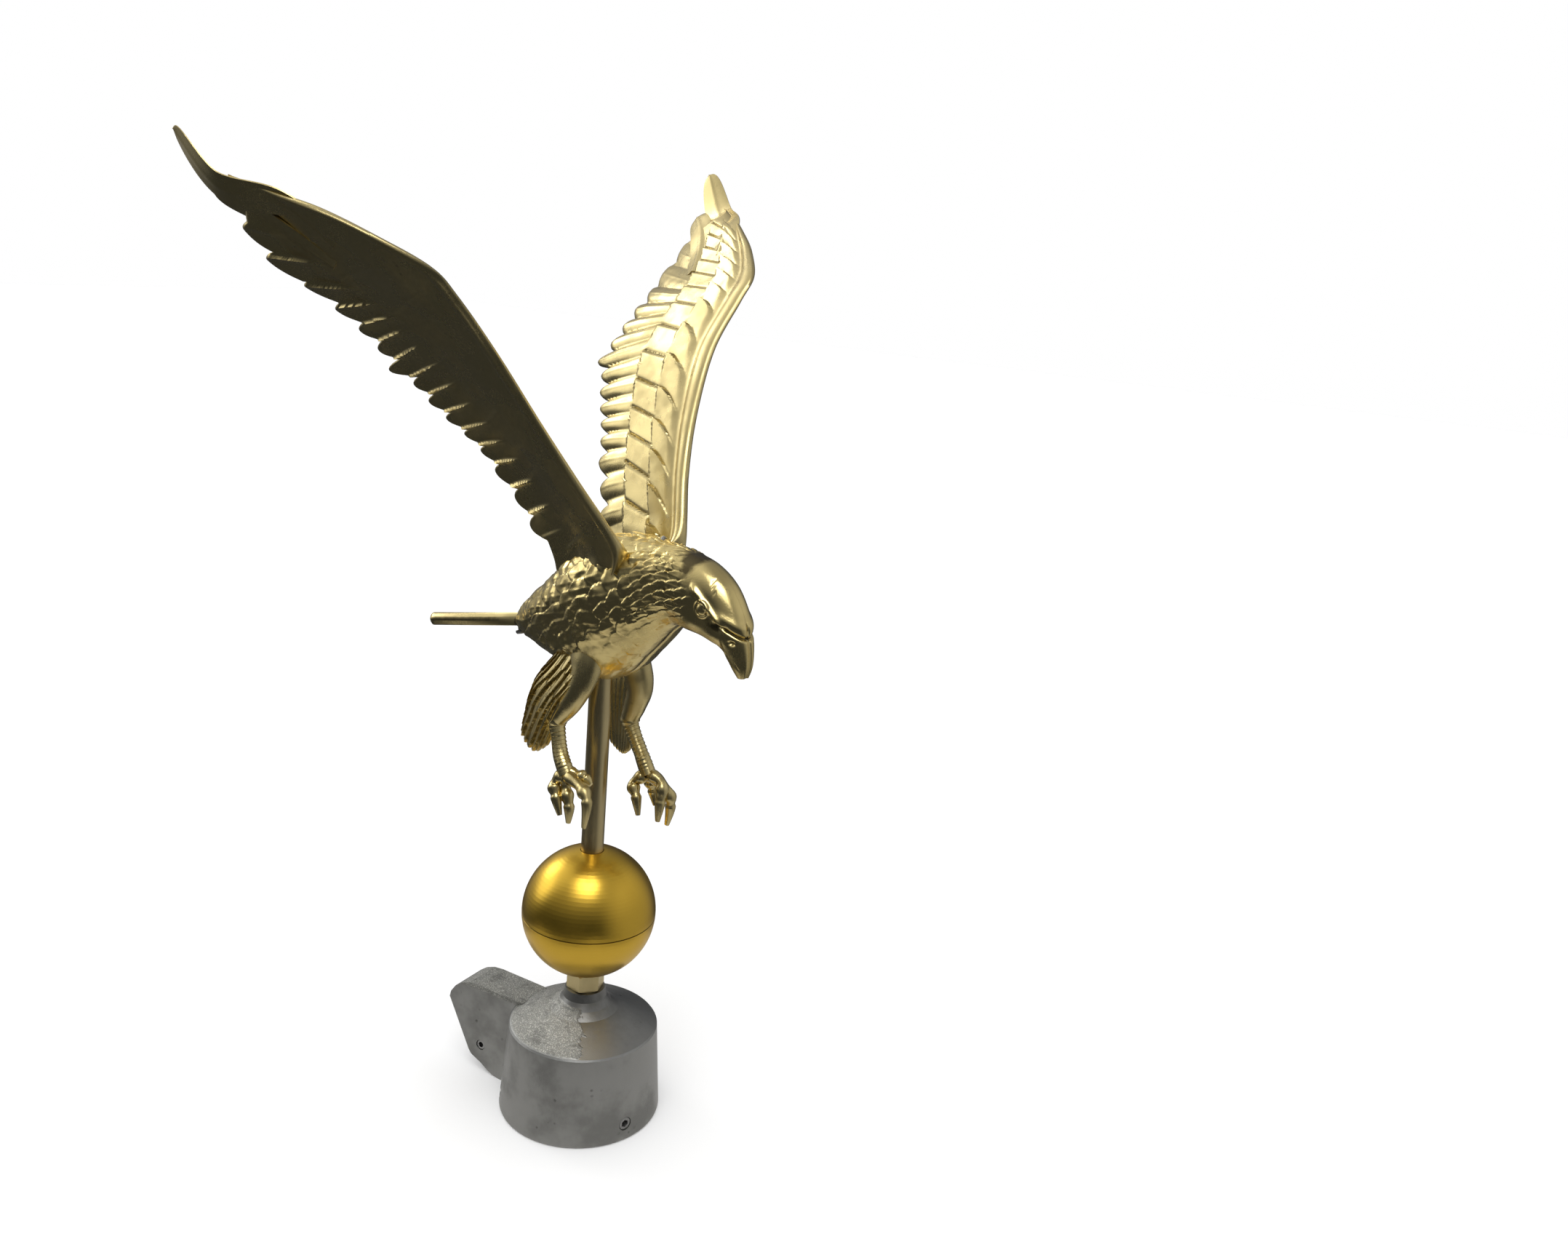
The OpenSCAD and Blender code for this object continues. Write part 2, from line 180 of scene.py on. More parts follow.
def closed_tube(rings: Array, relief: Array | float = 1.0, uv: Array | None = None) -> Shell:
    """Closed surface through equal rings, whose two ends are zipped up with quads across the ring.

    The winding is turned over if the volume, the sum of triple products over the faces, is negative.

    Args:
        rings: vertices, shaped (rings, vertices a ring, 3), with an even count in a ring.
        relief: height of the surface pattern, 0 in a recess to 1 on top.
        uv: texture place of each vertex, shaped (rings, vertices a ring, 2).

    Returns:
        The closed shell.
    """
    m, n = rings.shape[:2]
    at = np.arange(m * n).reshape(m, n)
    right = np.roll(at, -1, axis=1)
    side = np.stack([at[:-1], right[:-1], right[1:], at[1:]], axis=-1).reshape(-1, 4)
    j = np.arange(n // 2 - 1)
    zipped = np.stack([j, n - 1 - j, n - 2 - j, j + 1], axis=-1)
    faces = np.concatenate([side, zipped, (m - 1) * n + zipped[:, ::-1]])
    points = rings.reshape(-1, 3)
    a, b, c, d = (points[faces[:, k]] for k in range(4))
    volume = np.sum(np.cross(b - a, c - a) * a) + np.sum(np.cross(c - a, d - a) * a)
    if volume < 0:
        faces = faces[:, ::-1]
    spread = np.broadcast_to(np.asarray(relief, float), (m, n)).reshape(-1)
    if uv is None:
        uv = np.stack(np.meshgrid(np.linspace(0, 1, n), np.linspace(0, 1, m)), axis=-1)
    return Shell(points, faces, spread, uv.reshape(-1, 2))


def mirrored(shell: Shell) -> Shell:
    """The shell on the other side of the flight line: y changes sign and every face turns over."""
    return Shell(shell.points * (1, -1, 1), shell.faces[:, ::-1], shell.relief, shell.uv)


def grid_normals(grid: Array) -> Array:
    """Unit normals of a grid of points: the cross product of its two central differences."""
    return unit(np.cross(np.gradient(grid, axis=0), np.gradient(grid, axis=1)))


def make_piece(name: str, shells: list[Shell], material: bpy.types.Material,
               crease: float) -> bpy.types.Object:
    """Joins shells into one mesh object at the origin, turned from the flight line into the frame.

    Args:
        name: the piece's name.
        shells: closed surfaces in millimetres on the flight line.
        material: the finish's material.
        crease: edges sharper than this many degrees are not smoothed over.

    Returns:
        The linked object, with an attribute "relief" and a UV map.
    """
    starts = np.cumsum([0] + [len(s.points) for s in shells])
    points = np.concatenate([s.points for s in shells]) * MM
    faces = np.concatenate([s.faces + k for s, k in zip(shells, starts)])
    c, s = math.cos(FLIGHT_TURN), math.sin(FLIGHT_TURN)
    points = points @ np.array([[c, s, 0], [-s, c, 0], [0, 0, 1]])
    mesh = bpy.data.meshes.new(name)
    mesh.vertices.add(len(points))
    mesh.vertices.foreach_set("co", points.astype(np.float32).ravel())
    mesh.loops.add(faces.size)
    mesh.loops.foreach_set("vertex_index", faces.astype(np.int32).ravel())
    mesh.polygons.add(len(faces))
    mesh.polygons.foreach_set("loop_start", np.arange(0, faces.size, 4, dtype=np.int32))
    mesh.update(calc_edges=True)
    relief = mesh.attributes.new("relief", "FLOAT", "POINT")
    relief.data.foreach_set("value", np.concatenate([s.relief for s in shells]).astype(np.float32))
    uv = np.concatenate([s.uv for s in shells])[faces.ravel()]
    mesh.uv_layers.new(name="UVMap").data.foreach_set("uv", uv.astype(np.float32).ravel())
    mesh.shade_smooth()
    mesh.set_sharp_from_angle(angle=math.radians(crease))
    mesh.materials.append(material)
    piece = bpy.data.objects.new(name, mesh)
    bpy.context.scene.collection.objects.link(piece)
    return piece


# ---------- materials ----------

class Plumbing:
    """A node tree with short calls for adding and joining nodes."""

    def __init__(self, tree: bpy.types.NodeTree) -> None:
        """Keeps the tree that the calls work on."""
        self.tree = tree

    def add(self, kind: str, **settings: object) -> bpy.types.Node:
        """Adds a node.

        Args:
            kind: the node's type.
            settings: values for its properties by name, or for its input sockets as in0, in1 and so on.

        Returns:
            The new node.
        """
        node = self.tree.nodes.new(kind)
        for key, value in settings.items():
            if key.startswith("in") and key[2:].isdigit():
                self.feed(node.inputs[int(key[2:])], value)
            else:
                setattr(node, key, value)
        return node

    def feed(self, socket: bpy.types.NodeSocket, value: object) -> None:
        """Links another socket into this one, or sets its value.

        Args:
            socket: the input socket.
            value: an output socket, or a plain value.
        """
        if isinstance(value, bpy.types.NodeSocket):
            self.tree.links.new(value, socket)
        else:
            socket.default_value = value

    def where(self) -> bpy.types.NodeSocket:
        """Object coordinates, which are metres in the frame."""
        return self.add("ShaderNodeTexCoord").outputs["Object"]

    def sum(self, kind: str, a: object, b: object = 0.0, c: object = 0.0,
            clamp: bool = False) -> bpy.types.NodeSocket:
        """Result of a Math node."""
        return self.add("ShaderNodeMath", operation=kind, use_clamp=clamp, in0=a, in1=b, in2=c).outputs[0]

    def mix(self, share: object, a: object, b: object) -> bpy.types.NodeSocket:
        """Mixes two colours.

        Args:
            share: 0 for a to 1 for b.
            a: first colour.
            b: second colour.

        Returns:
            The mixed colour.
        """
        node = self.add("ShaderNodeMix", data_type="RGBA")
        self.feed(node.inputs[0], share)
        self.feed(node.inputs[6], a)
        self.feed(node.inputs[7], b)
        return node.outputs[2]

    def span(self, value: object, a: float, b: float, c: float, d: float) -> bpy.types.NodeSocket:
        """Smoothly maps a value's span a to b onto c to d, with the ends held.

        Args:
            value: what is mapped.
            a: start of its span.
            b: end of its span.
            c: result at a.
            d: result at b.

        Returns:
            The mapped value.
        """
        node = self.add("ShaderNodeMapRange", interpolation_type="SMOOTHSTEP")
        for socket, v in zip(node.inputs, (value, a, b, c, d)):
            self.feed(socket, v)
        return node.outputs[0]

    def noise(self, where: object, scale: object, detail: float = 3,
              rough: float = 0.55) -> bpy.types.NodeSocket:
        """Value of a Noise texture, whose mean is 0.5.

        Args:
            where: coordinates.
            scale: waves a metre.
            detail: octaves.
            rough: strength of each octave against the one before.

        Returns:
            The noise value.
        """
        node = self.add("ShaderNodeTexNoise")
        self.feed(node.inputs["Vector"], where)
        self.feed(node.inputs["Scale"], scale)
        node.inputs["Detail"].default_value = detail
        node.inputs["Roughness"].default_value = rough
        return node.outputs["Fac"]


def new_group(name: str, ins: dict[str, float], outs: tuple[str, ...]) -> tuple[Plumbing, dict, dict]:
    """An empty shader node group with float sockets.

    Args:
        name: the group's name.
        ins: input names and their defaults.
        outs: output names.

    Returns:
        The tree's plumbing, its input sockets and its output sockets by name.
    """
    tree = bpy.data.node_groups.new(name, "ShaderNodeTree")
    for key, value in ins.items():
        socket = tree.interface.new_socket(key, in_out="INPUT", socket_type="NodeSocketFloat")
        socket.default_value = value
    for key in outs:
        tree.interface.new_socket(key, in_out="OUTPUT", socket_type="NodeSocketFloat")
    pipe = Plumbing(tree)
    entry, leave = pipe.add("NodeGroupInput"), pipe.add("NodeGroupOutput")
    return pipe, {k: entry.outputs[k] for k in ins}, {k: leave.inputs[k] for k in outs}


def grain_group() -> bpy.types.NodeTree:
    """Cast or blasted grain: fine noise, larger waves and small pits, in object millimetres.

    Returns:
        Group with inputs Size (mm), Waves and Pits (0 to 1), and outputs Height, Pit and Smudge.
    """
    pipe, ins, outs = new_group("grain", {"Size": 1.0, "Waves": 0.5, "Pits": 0.3},
                                ("Height", "Pit", "Smudge"))
    where = pipe.where()
    fine = pipe.noise(where, pipe.sum("DIVIDE", 1 / MM, ins["Size"]), 4, 0.65)
    waves = pipe.noise(where, 90.0, 3)
    cells = pipe.add("ShaderNodeTexVoronoi", feature="F1")
    pipe.feed(cells.inputs["Vector"], where)
    cells.inputs["Scale"].default_value = 170.0
    rare = pipe.span(pipe.noise(where, 60.0, 2), 0.56, 0.66, 0.0, 1.0)
    pit = pipe.sum("MULTIPLY", pipe.span(cells.outputs["Distance"], 0.10, 0.24, 1.0, 0.0), rare)
    pit = pipe.sum("MULTIPLY", pit, ins["Pits"])
    height = pipe.sum("MULTIPLY_ADD", waves, ins["Waves"], fine)
    pipe.feed(outs["Height"], pipe.sum("SUBTRACT", height, pit))
    pipe.feed(outs["Pit"], pit)
    pipe.feed(outs["Smudge"], pipe.span(pipe.noise(where, 34.0, 4, 0.6), 0.42, 0.68, 0.0, 1.0))
    return pipe.tree


def recess_shade_group() -> bpy.types.NodeTree:
    """Painted shade in recesses: dark where the relief attribute is low, broken up with noise.

    Returns:
        Group with inputs Reach and Break, and the output RecessShade from 0 (bare) to 1 (full painted
        shade).
    """
    pipe, ins, outs = new_group("age", {"Reach": 0.5, "Break": 0.3}, ("RecessShade",))
    relief = pipe.add("ShaderNodeAttribute", attribute_name="relief").outputs["Fac"]
    where = pipe.where()
    broken = pipe.sum("MULTIPLY", pipe.sum("SUBTRACT", pipe.noise(where, 260.0, 3), 0.5), ins["Break"])
    low = pipe.sum("SUBTRACT", ins["Reach"], pipe.sum("ADD", relief, broken))
    pipe.feed(outs["RecessShade"], pipe.span(low, 0.0, 0.4, 0.0, 1.0))
    return pipe.tree


def scratch_group() -> bpy.types.NodeTree:
    """Handling marks: noise stretched along one way, kept only at its sharp crests.

    Returns:
        Group with inputs Length and Amount and the output Scratch from 0 to 1.
    """
    pipe, ins, outs = new_group("scratches", {"Length": 12.0, "Amount": 0.5}, ("Scratch",))
    where = pipe.where()
    turned = pipe.add("ShaderNodeMapping")
    pipe.feed(turned.inputs["Vector"], where)
    turned.inputs["Rotation"].default_value = (0.4, 0.9, 0.3)
    turned.inputs["Scale"].default_value = (1.0, 1.0, 0.05)
    lines = pipe.noise(turned.outputs[0], pipe.sum("MULTIPLY", ins["Length"], 60.0), 2)
    ridge = pipe.span(pipe.sum("ABSOLUTE", pipe.sum("SUBTRACT", lines, 0.5)), 0.0, 0.012, 1.0, 0.0)
    few = pipe.span(pipe.noise(where, 45.0, 2), 0.52, 0.62, 0.0, 1.0)
    pipe.feed(outs["Scratch"], pipe.sum("MULTIPLY", pipe.sum("MULTIPLY", ridge, few), ins["Amount"]))
    return pipe.tree


GRAIN, RECESS_SHADING, SCRATCHES = grain_group(), recess_shade_group(), scratch_group()


@dataclass(frozen=True)
class Metal:
    """A metal finish.

    It has a bare colour and a dark colour for grime and painted shade, two roughnesses (clean and smudged),
    the grain's size, waves and pits, the bump's depth, how far the painted shade reaches out of the
    recesses, its scratches, and the height of a dark seam line if there is one.
    """

    name: str
    bare: Triple
    grime_and_shade_colour: Triple
    rough: tuple[float, float]
    grain_mm: float
    waves: float
    pits: float
    depth_mm: float
    recess: float = 0.0
    scratch: float = 0.3
    seam_mm: float = -1.0

    def start(self) -> tuple[bpy.types.Material, Plumbing, bpy.types.Node]:
        """A new material with a metallic Principled BSDF.

        Returns:
            The material, its plumbing and its shader.
        """
        material = bpy.data.materials.new(self.name)
        material.use_nodes = True
        material.diffuse_color = (*self.bare, 1)
        pipe = Plumbing(material.node_tree)
        shader = material.node_tree.nodes["Principled BSDF"]
        shader.inputs["Metallic"].default_value = 1.0
        return material, pipe, shader

    def group(self, pipe: Plumbing, tree: bpy.types.NodeTree, **values: float) -> bpy.types.Node:
        """Places a shared group with its own values.

        Args:
            pipe: plumbing of the material.
            tree: the shared group.
            values: its inputs by name.

        Returns:
            The group's node.
        """
        node = pipe.add("ShaderNodeGroup", node_tree=tree)
        for key, value in values.items():
            node.inputs[key].default_value = value
        return node

    def gloss(self, pipe: Plumbing, smudge: bpy.types.NodeSocket, scratch: bpy.types.NodeSocket,
              share: float) -> bpy.types.NodeSocket:
        """Roughness that grows with smudges, and by a share of the scratches."""
        rough = pipe.span(smudge, 0.0, 1.0, self.rough[0], self.rough[1])
        return pipe.sum("MULTIPLY_ADD", scratch, share, rough)

    def emboss(self, pipe: Plumbing, shader: bpy.types.Node, height: bpy.types.NodeSocket) -> None:
        """Feeds the shader's normal from a height, with the finish's own depth.

        Args:
            pipe: plumbing of the material.
            shader: its Principled BSDF.
            height: 0 to about 1.
        """
        rise = pipe.add("ShaderNodeBump")
        rise.inputs["Strength"].default_value = 1.0
        rise.inputs["Distance"].default_value = self.depth_mm * MM
        pipe.feed(rise.inputs["Height"], height)
        pipe.feed(shader.inputs["Normal"], rise.outputs["Normal"])

    def build(self) -> bpy.types.Material:
        """Dark colour as painted shade in recesses and as grime in smudges and pits, scratches, and a grain
        bump.

        Returns:
            The finished material.
        """
        material, pipe, shader = self.start()
        grain = self.group(pipe, GRAIN, Size=self.grain_mm, Waves=self.waves, Pits=self.pits)
        age = self.group(pipe, RECESS_SHADING, Reach=self.recess, Break=0.35)
        marks = self.group(pipe, SCRATCHES, Amount=self.scratch)
        # painted shade in the recesses of the relief, plus real pits and smudges, all mixed toward the dark
        # colour
        grime_and_shade = pipe.sum("MULTIPLY_ADD", grain.outputs["Pit"], 0.8, age.outputs["RecessShade"], clamp=True)
        grime_and_shade = pipe.sum("MULTIPLY_ADD", grain.outputs["Smudge"], 0.18, grime_and_shade, clamp=True)
        colour = pipe.mix(grime_and_shade, (*self.bare, 1), (*self.grime_and_shade_colour, 1))
        if self.seam_mm > 0:
            # a dark line, 0.2 to 0.5 mm to each side of the height at which two spun halves meet
            where = pipe.where()
            high = pipe.add("ShaderNodeSeparateXYZ", in0=where).outputs["Z"]
            off = pipe.sum("ABSOLUTE", pipe.sum("SUBTRACT", high, self.seam_mm * MM))
            colour = pipe.mix(pipe.span(off, 0.2 * MM, 0.5 * MM, 0.85, 0.0), colour, (0.1, 0.06, 0.01, 1))
        pipe.feed(shader.inputs["Base Color"], colour)
        rough = self.gloss(pipe, grain.outputs["Smudge"], marks.outputs["Scratch"], 0.15)
        pipe.feed(shader.inputs["Roughness"], pipe.sum("MULTIPLY_ADD", grime_and_shade, 0.15, rough, clamp=True))
        self.emboss(pipe, shader, pipe.sum("SUBTRACT", grain.outputs["Height"], marks.outputs["Scratch"]))
        return material


@dataclass(frozen=True)
class Sandcast(Metal):
    """Raw cast aluminium: dressed smooth on the skirt and housing, coarse on part of the dome, where the
    colour is painted bright as the side the light falls on, and painted darker under the nut as its shadow.

    The coarse patch lies between the heights dome_low_mm and dome_high_mm.
    """

    dome_low_mm: float = 55.2
    dome_high_mm: float = 70.5
    coarse_depth_mm: float = 0.6

    def build(self) -> bpy.types.Material:
        """Smooth and coarse casting, parted by height, by bearing and by ragged noise, with painted light
        on the coarse patch and a painted shadow under the nut.

        Returns:
            The finished material.
        """
        material, pipe, shader = self.start()
        grain = self.group(pipe, GRAIN, Size=self.grain_mm, Waves=self.waves, Pits=self.pits)
        marks = self.group(pipe, SCRATCHES, Amount=self.scratch, Length=9.0)
        where = pipe.where()
        place = pipe.add("ShaderNodeSeparateXYZ", in0=where)
        ragged = pipe.sum("SUBTRACT", pipe.noise(where, 160.0, 4, 0.7), 0.5)
        ragged = pipe.sum("MULTIPLY", ragged, 14 * MM)
        # the coarse patch faces (-0.78, -0.62) and starts 2 to 4 mm off the pole axis on that side
        toward = pipe.sum("MULTIPLY_ADD", place.outputs["Y"], -0.62,
                          pipe.sum("MULTIPLY", place.outputs["X"], -0.78))
        facing = pipe.span(pipe.sum("ADD", toward, ragged), 2 * MM, 4 * MM, 0.0, 1.0)
        high = pipe.span(place.outputs["Z"], (self.dome_low_mm - 0.8) * MM, self.dome_low_mm * MM,
                         0.0, 1.0)
        low = pipe.span(pipe.sum("ADD", place.outputs["Z"], pipe.sum("MULTIPLY", ragged, 0.2)),
                        (self.dome_high_mm - 1.5) * MM, self.dome_high_mm * MM, 1.0, 0.0)
        coarse = pipe.sum("MULTIPLY", pipe.sum("MULTIPLY", facing, high), low)
        # painted light: the coarse patch faces the light, so it takes a bright grey with painted glints
        # over its real coarse grain
        glint_and_grain = pipe.span(pipe.noise(where, 1500.0, 2), 0.5, 0.66, 0.0, 1.0)
        lit_coarse_colour = pipe.mix(glint_and_grain, (0.40, 0.40, 0.37, 1), (0.74, 0.73, 0.68, 1))
        patches = pipe.span(pipe.noise(where, 110.0, 4, 0.7), 0.5, 0.66, 0.0, 0.55)
        lit_coarse_colour = pipe.mix(patches, lit_coarse_colour, (0.2, 0.2, 0.185, 1))
        smooth = pipe.mix(grain.outputs["Smudge"], (*self.bare, 1), (*self.grime_and_shade_colour, 1))
        smooth = pipe.mix(grain.outputs["Pit"], smooth, (0.06, 0.06, 0.055, 1))
        # painted shadow under the nut: the dome darkens towards the neck, from 62 to 72 mm up
        neck = pipe.span(place.outputs["Z"], 62 * MM, 72 * MM, 0.0, 0.35)
        smooth = pipe.mix(neck, smooth, (0.1, 0.095, 0.085, 1))
        pipe.feed(shader.inputs["Base Color"], pipe.mix(coarse, smooth, lit_coarse_colour))
        rough = self.gloss(pipe, grain.outputs["Smudge"], marks.outputs["Scratch"], 0.12)
        pipe.feed(shader.inputs["Roughness"], pipe.sum("MULTIPLY_ADD", coarse, 0.18, rough, clamp=True))
        share = pipe.span(coarse, 0.0, 1.0, 0.05, 1.0)
        sand = pipe.sum("MULTIPLY", pipe.noise(where, 480.0, 4, 0.7), share)
        deeper = self.coarse_depth_mm / self.depth_mm
        height = pipe.sum("MULTIPLY_ADD", sand, deeper, grain.outputs["Height"])
        self.emboss(pipe, shader, pipe.sum("MULTIPLY_ADD", marks.outputs["Scratch"], -1.2, height))
        return material


class Finish(Enum):
    """Every finish on the object."""

    PLATE = Metal("gold_toned_casting", (0.86, 0.69, 0.30), (0.12, 0.095, 0.045), (0.2, 0.3),
                  0.9, 0.9, 0.35, 0.05, recess=0.42)
    # the feathers take a darker copy of the casting gold, as painted shade on the wings, tail and legs
    FEATHER = Metal("gold_toned_feathers", (0.76, 0.62, 0.29), (0.12, 0.10, 0.05), (0.25, 0.36),
                    0.8, 0.7, 0.3, 0.045, recess=0.36)
    ROD = Metal("gold_toned_rod", (0.70, 0.57, 0.30), (0.55, 0.45, 0.24), (0.3, 0.34),
                1.4, 0.1, 0.0, 0.008)
    NUT = Metal("gold_toned_nut", (0.74, 0.61, 0.32), (0.38, 0.31, 0.15), (0.34, 0.42),
                1.0, 0.1, 0.1, 0.01)
    BALL = Metal("gold_anodised_ball", (0.86, 0.55, 0.07), (0.78, 0.48, 0.055), (0.28, 0.31),
                 0.7, 0.0, 0.0, 0.008, scratch=0.04, seam_mm=124.2)
    STEEL = Metal("zinc_screw", (0.42, 0.42, 0.41), (0.12, 0.12, 0.11), (0.3, 0.45),
                  0.8, 0.4, 0.4, 0.03)
    WHEEL = Metal("turned_wheel", (0.56, 0.56, 0.54), (0.22, 0.22, 0.21), (0.28, 0.42),
                  0.9, 0.3, 0.3, 0.03)
    BRONZE = Metal("oiled_bronze", (0.62, 0.40, 0.20), (0.2, 0.12, 0.06), (0.3, 0.45),
                   0.8, 0.3, 0.4, 0.02)
    CAST = Sandcast("raw_cast_aluminium", (0.40, 0.40, 0.385), (0.30, 0.30, 0.285), (0.36, 0.48),
                    0.55, 0.5, 0.6, 0.07, scratch=0.5)


MATERIALS: dict[Finish, bpy.types.Material] = {}


def finish(kind: Finish) -> bpy.types.Material:
    """The material of a finish, built at its first use.

    Args:
        kind: the finish.

    Returns:
        Its material.
    """
    if kind not in MATERIALS:
        MATERIALS[kind] = kind.value.build()
    return MATERIALS[kind]


# ---------- hard parts carried over from the frame ----------

class HardParts:
    """The cap, screws, pulley, rod, nut and ball, which keep their own meshes and take finishes."""

    DRESS = {
        Finish.CAST: ("pole_cap",),
        Finish.STEEL: ("pole_set_screws", "pulley_axle", "spindle_anchor", "body_cross_screws",
                       "wing_screws", "tail_screws", "leg_screws"),
        Finish.WHEEL: ("pulley_wheel",),
        Finish.BRONZE: ("pulley_bushing",),
        Finish.ROD: ("spindle_rod",),
        Finish.NUT: ("lock_nut",),
        Finish.BALL: ("ball_lower_half", "ball_upper_half"),
    }

    def dress(self) -> None:
        """Gives each carried-over node its finish."""
        for kind, names in self.DRESS.items():
            for name in names:
                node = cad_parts[name]
                if not node.material_slots:
                    node.data.materials.append(finish(kind))
                for holder in node.material_slots:
                    holder.material = finish(kind)
                log.info("%s: %s", name, kind.value.name)


# ---------- eagle ----------

class Side(Enum):
    """The two sides of the flight line."""

    LEFT = 1
    RIGHT = -1


def feather_blade(centre: Array, normal: Array, width: float, thick: float, tilt: float,
                  tip: float, rows: int = 70, cols: int = 13) -> Shell:
    """A feather: a thin curved leaf with a round tip, a raised shaft and a rounded back.

    At share p along the centre line and q across it, -1 to 1, the place is
    centre(p) + q * w(p) * side + (tilt * q * w(p) + thickness) * normal, where w is width times
    the square root of 1 - ((p - 1 + tip) / tip)^3 near the tip and narrows a little at the root.

    Args:
        centre: control points of the centre line, from root to tip.
        normal: direction of the feather's upper face, one for all or one a row.
        width: half width in mm.
        thick: thickness at the shaft in mm.
        tilt: rise of one edge over the other, as a share of the half width.
        tip: share of the length that the rounded tip takes.
        rows: rings along the feather.
        cols: vertices across each face.

    Returns:
        The closed leaf.
    """
    p = 1 - (1 - np.linspace(0, 1, rows)) ** 1.6
    line = curve(centre, p)
    ahead = unit(np.gradient(line, axis=0))
    side = unit(np.cross(np.broadcast_to(normal, line.shape), ahead))
    up = np.cross(ahead, side)
    near_tip = np.clip((p - 1 + tip) / tip, 0, 1)
    half = width * (0.72 + 0.28 * ease(p, 0, 0.35)) * np.sqrt(np.maximum(1 - near_tip**3, 0.0004))
    q = np.linspace(-1, 1, cols)
    body = thick * (0.28 + 0.72 * (1 - q**2)) * 0.5 + 0.22 * thick * bump(q, 0, 0.16)
    thin = (1 - 0.55 * p)[:, None]
    across = side[:, None] * q[None, :, None] * half[:, None, None]
    middle = line[:, None] + across + up[:, None] * (tilt * q[None, :, None] * half[:, None, None])
    top = middle + up[:, None] * (body[None, :, None] * thin[..., None])
    under = middle - up[:, None] * (body[None, :, None] * 0.8 * thin[..., None])
    edge = 0.35 + 0.65 * (1 - np.abs(q) ** 4)
    relief = np.broadcast_to(np.concatenate([edge, edge[::-1]]), (rows, 2 * cols))
    round_trip = np.concatenate([q, q[::-1]])[None] * 0.5 + 0.5
    uv = np.stack(np.broadcast_arrays(round_trip, p[:, None]), axis=-1)
    return closed_tube(both_faces(top, under), relief, uv)


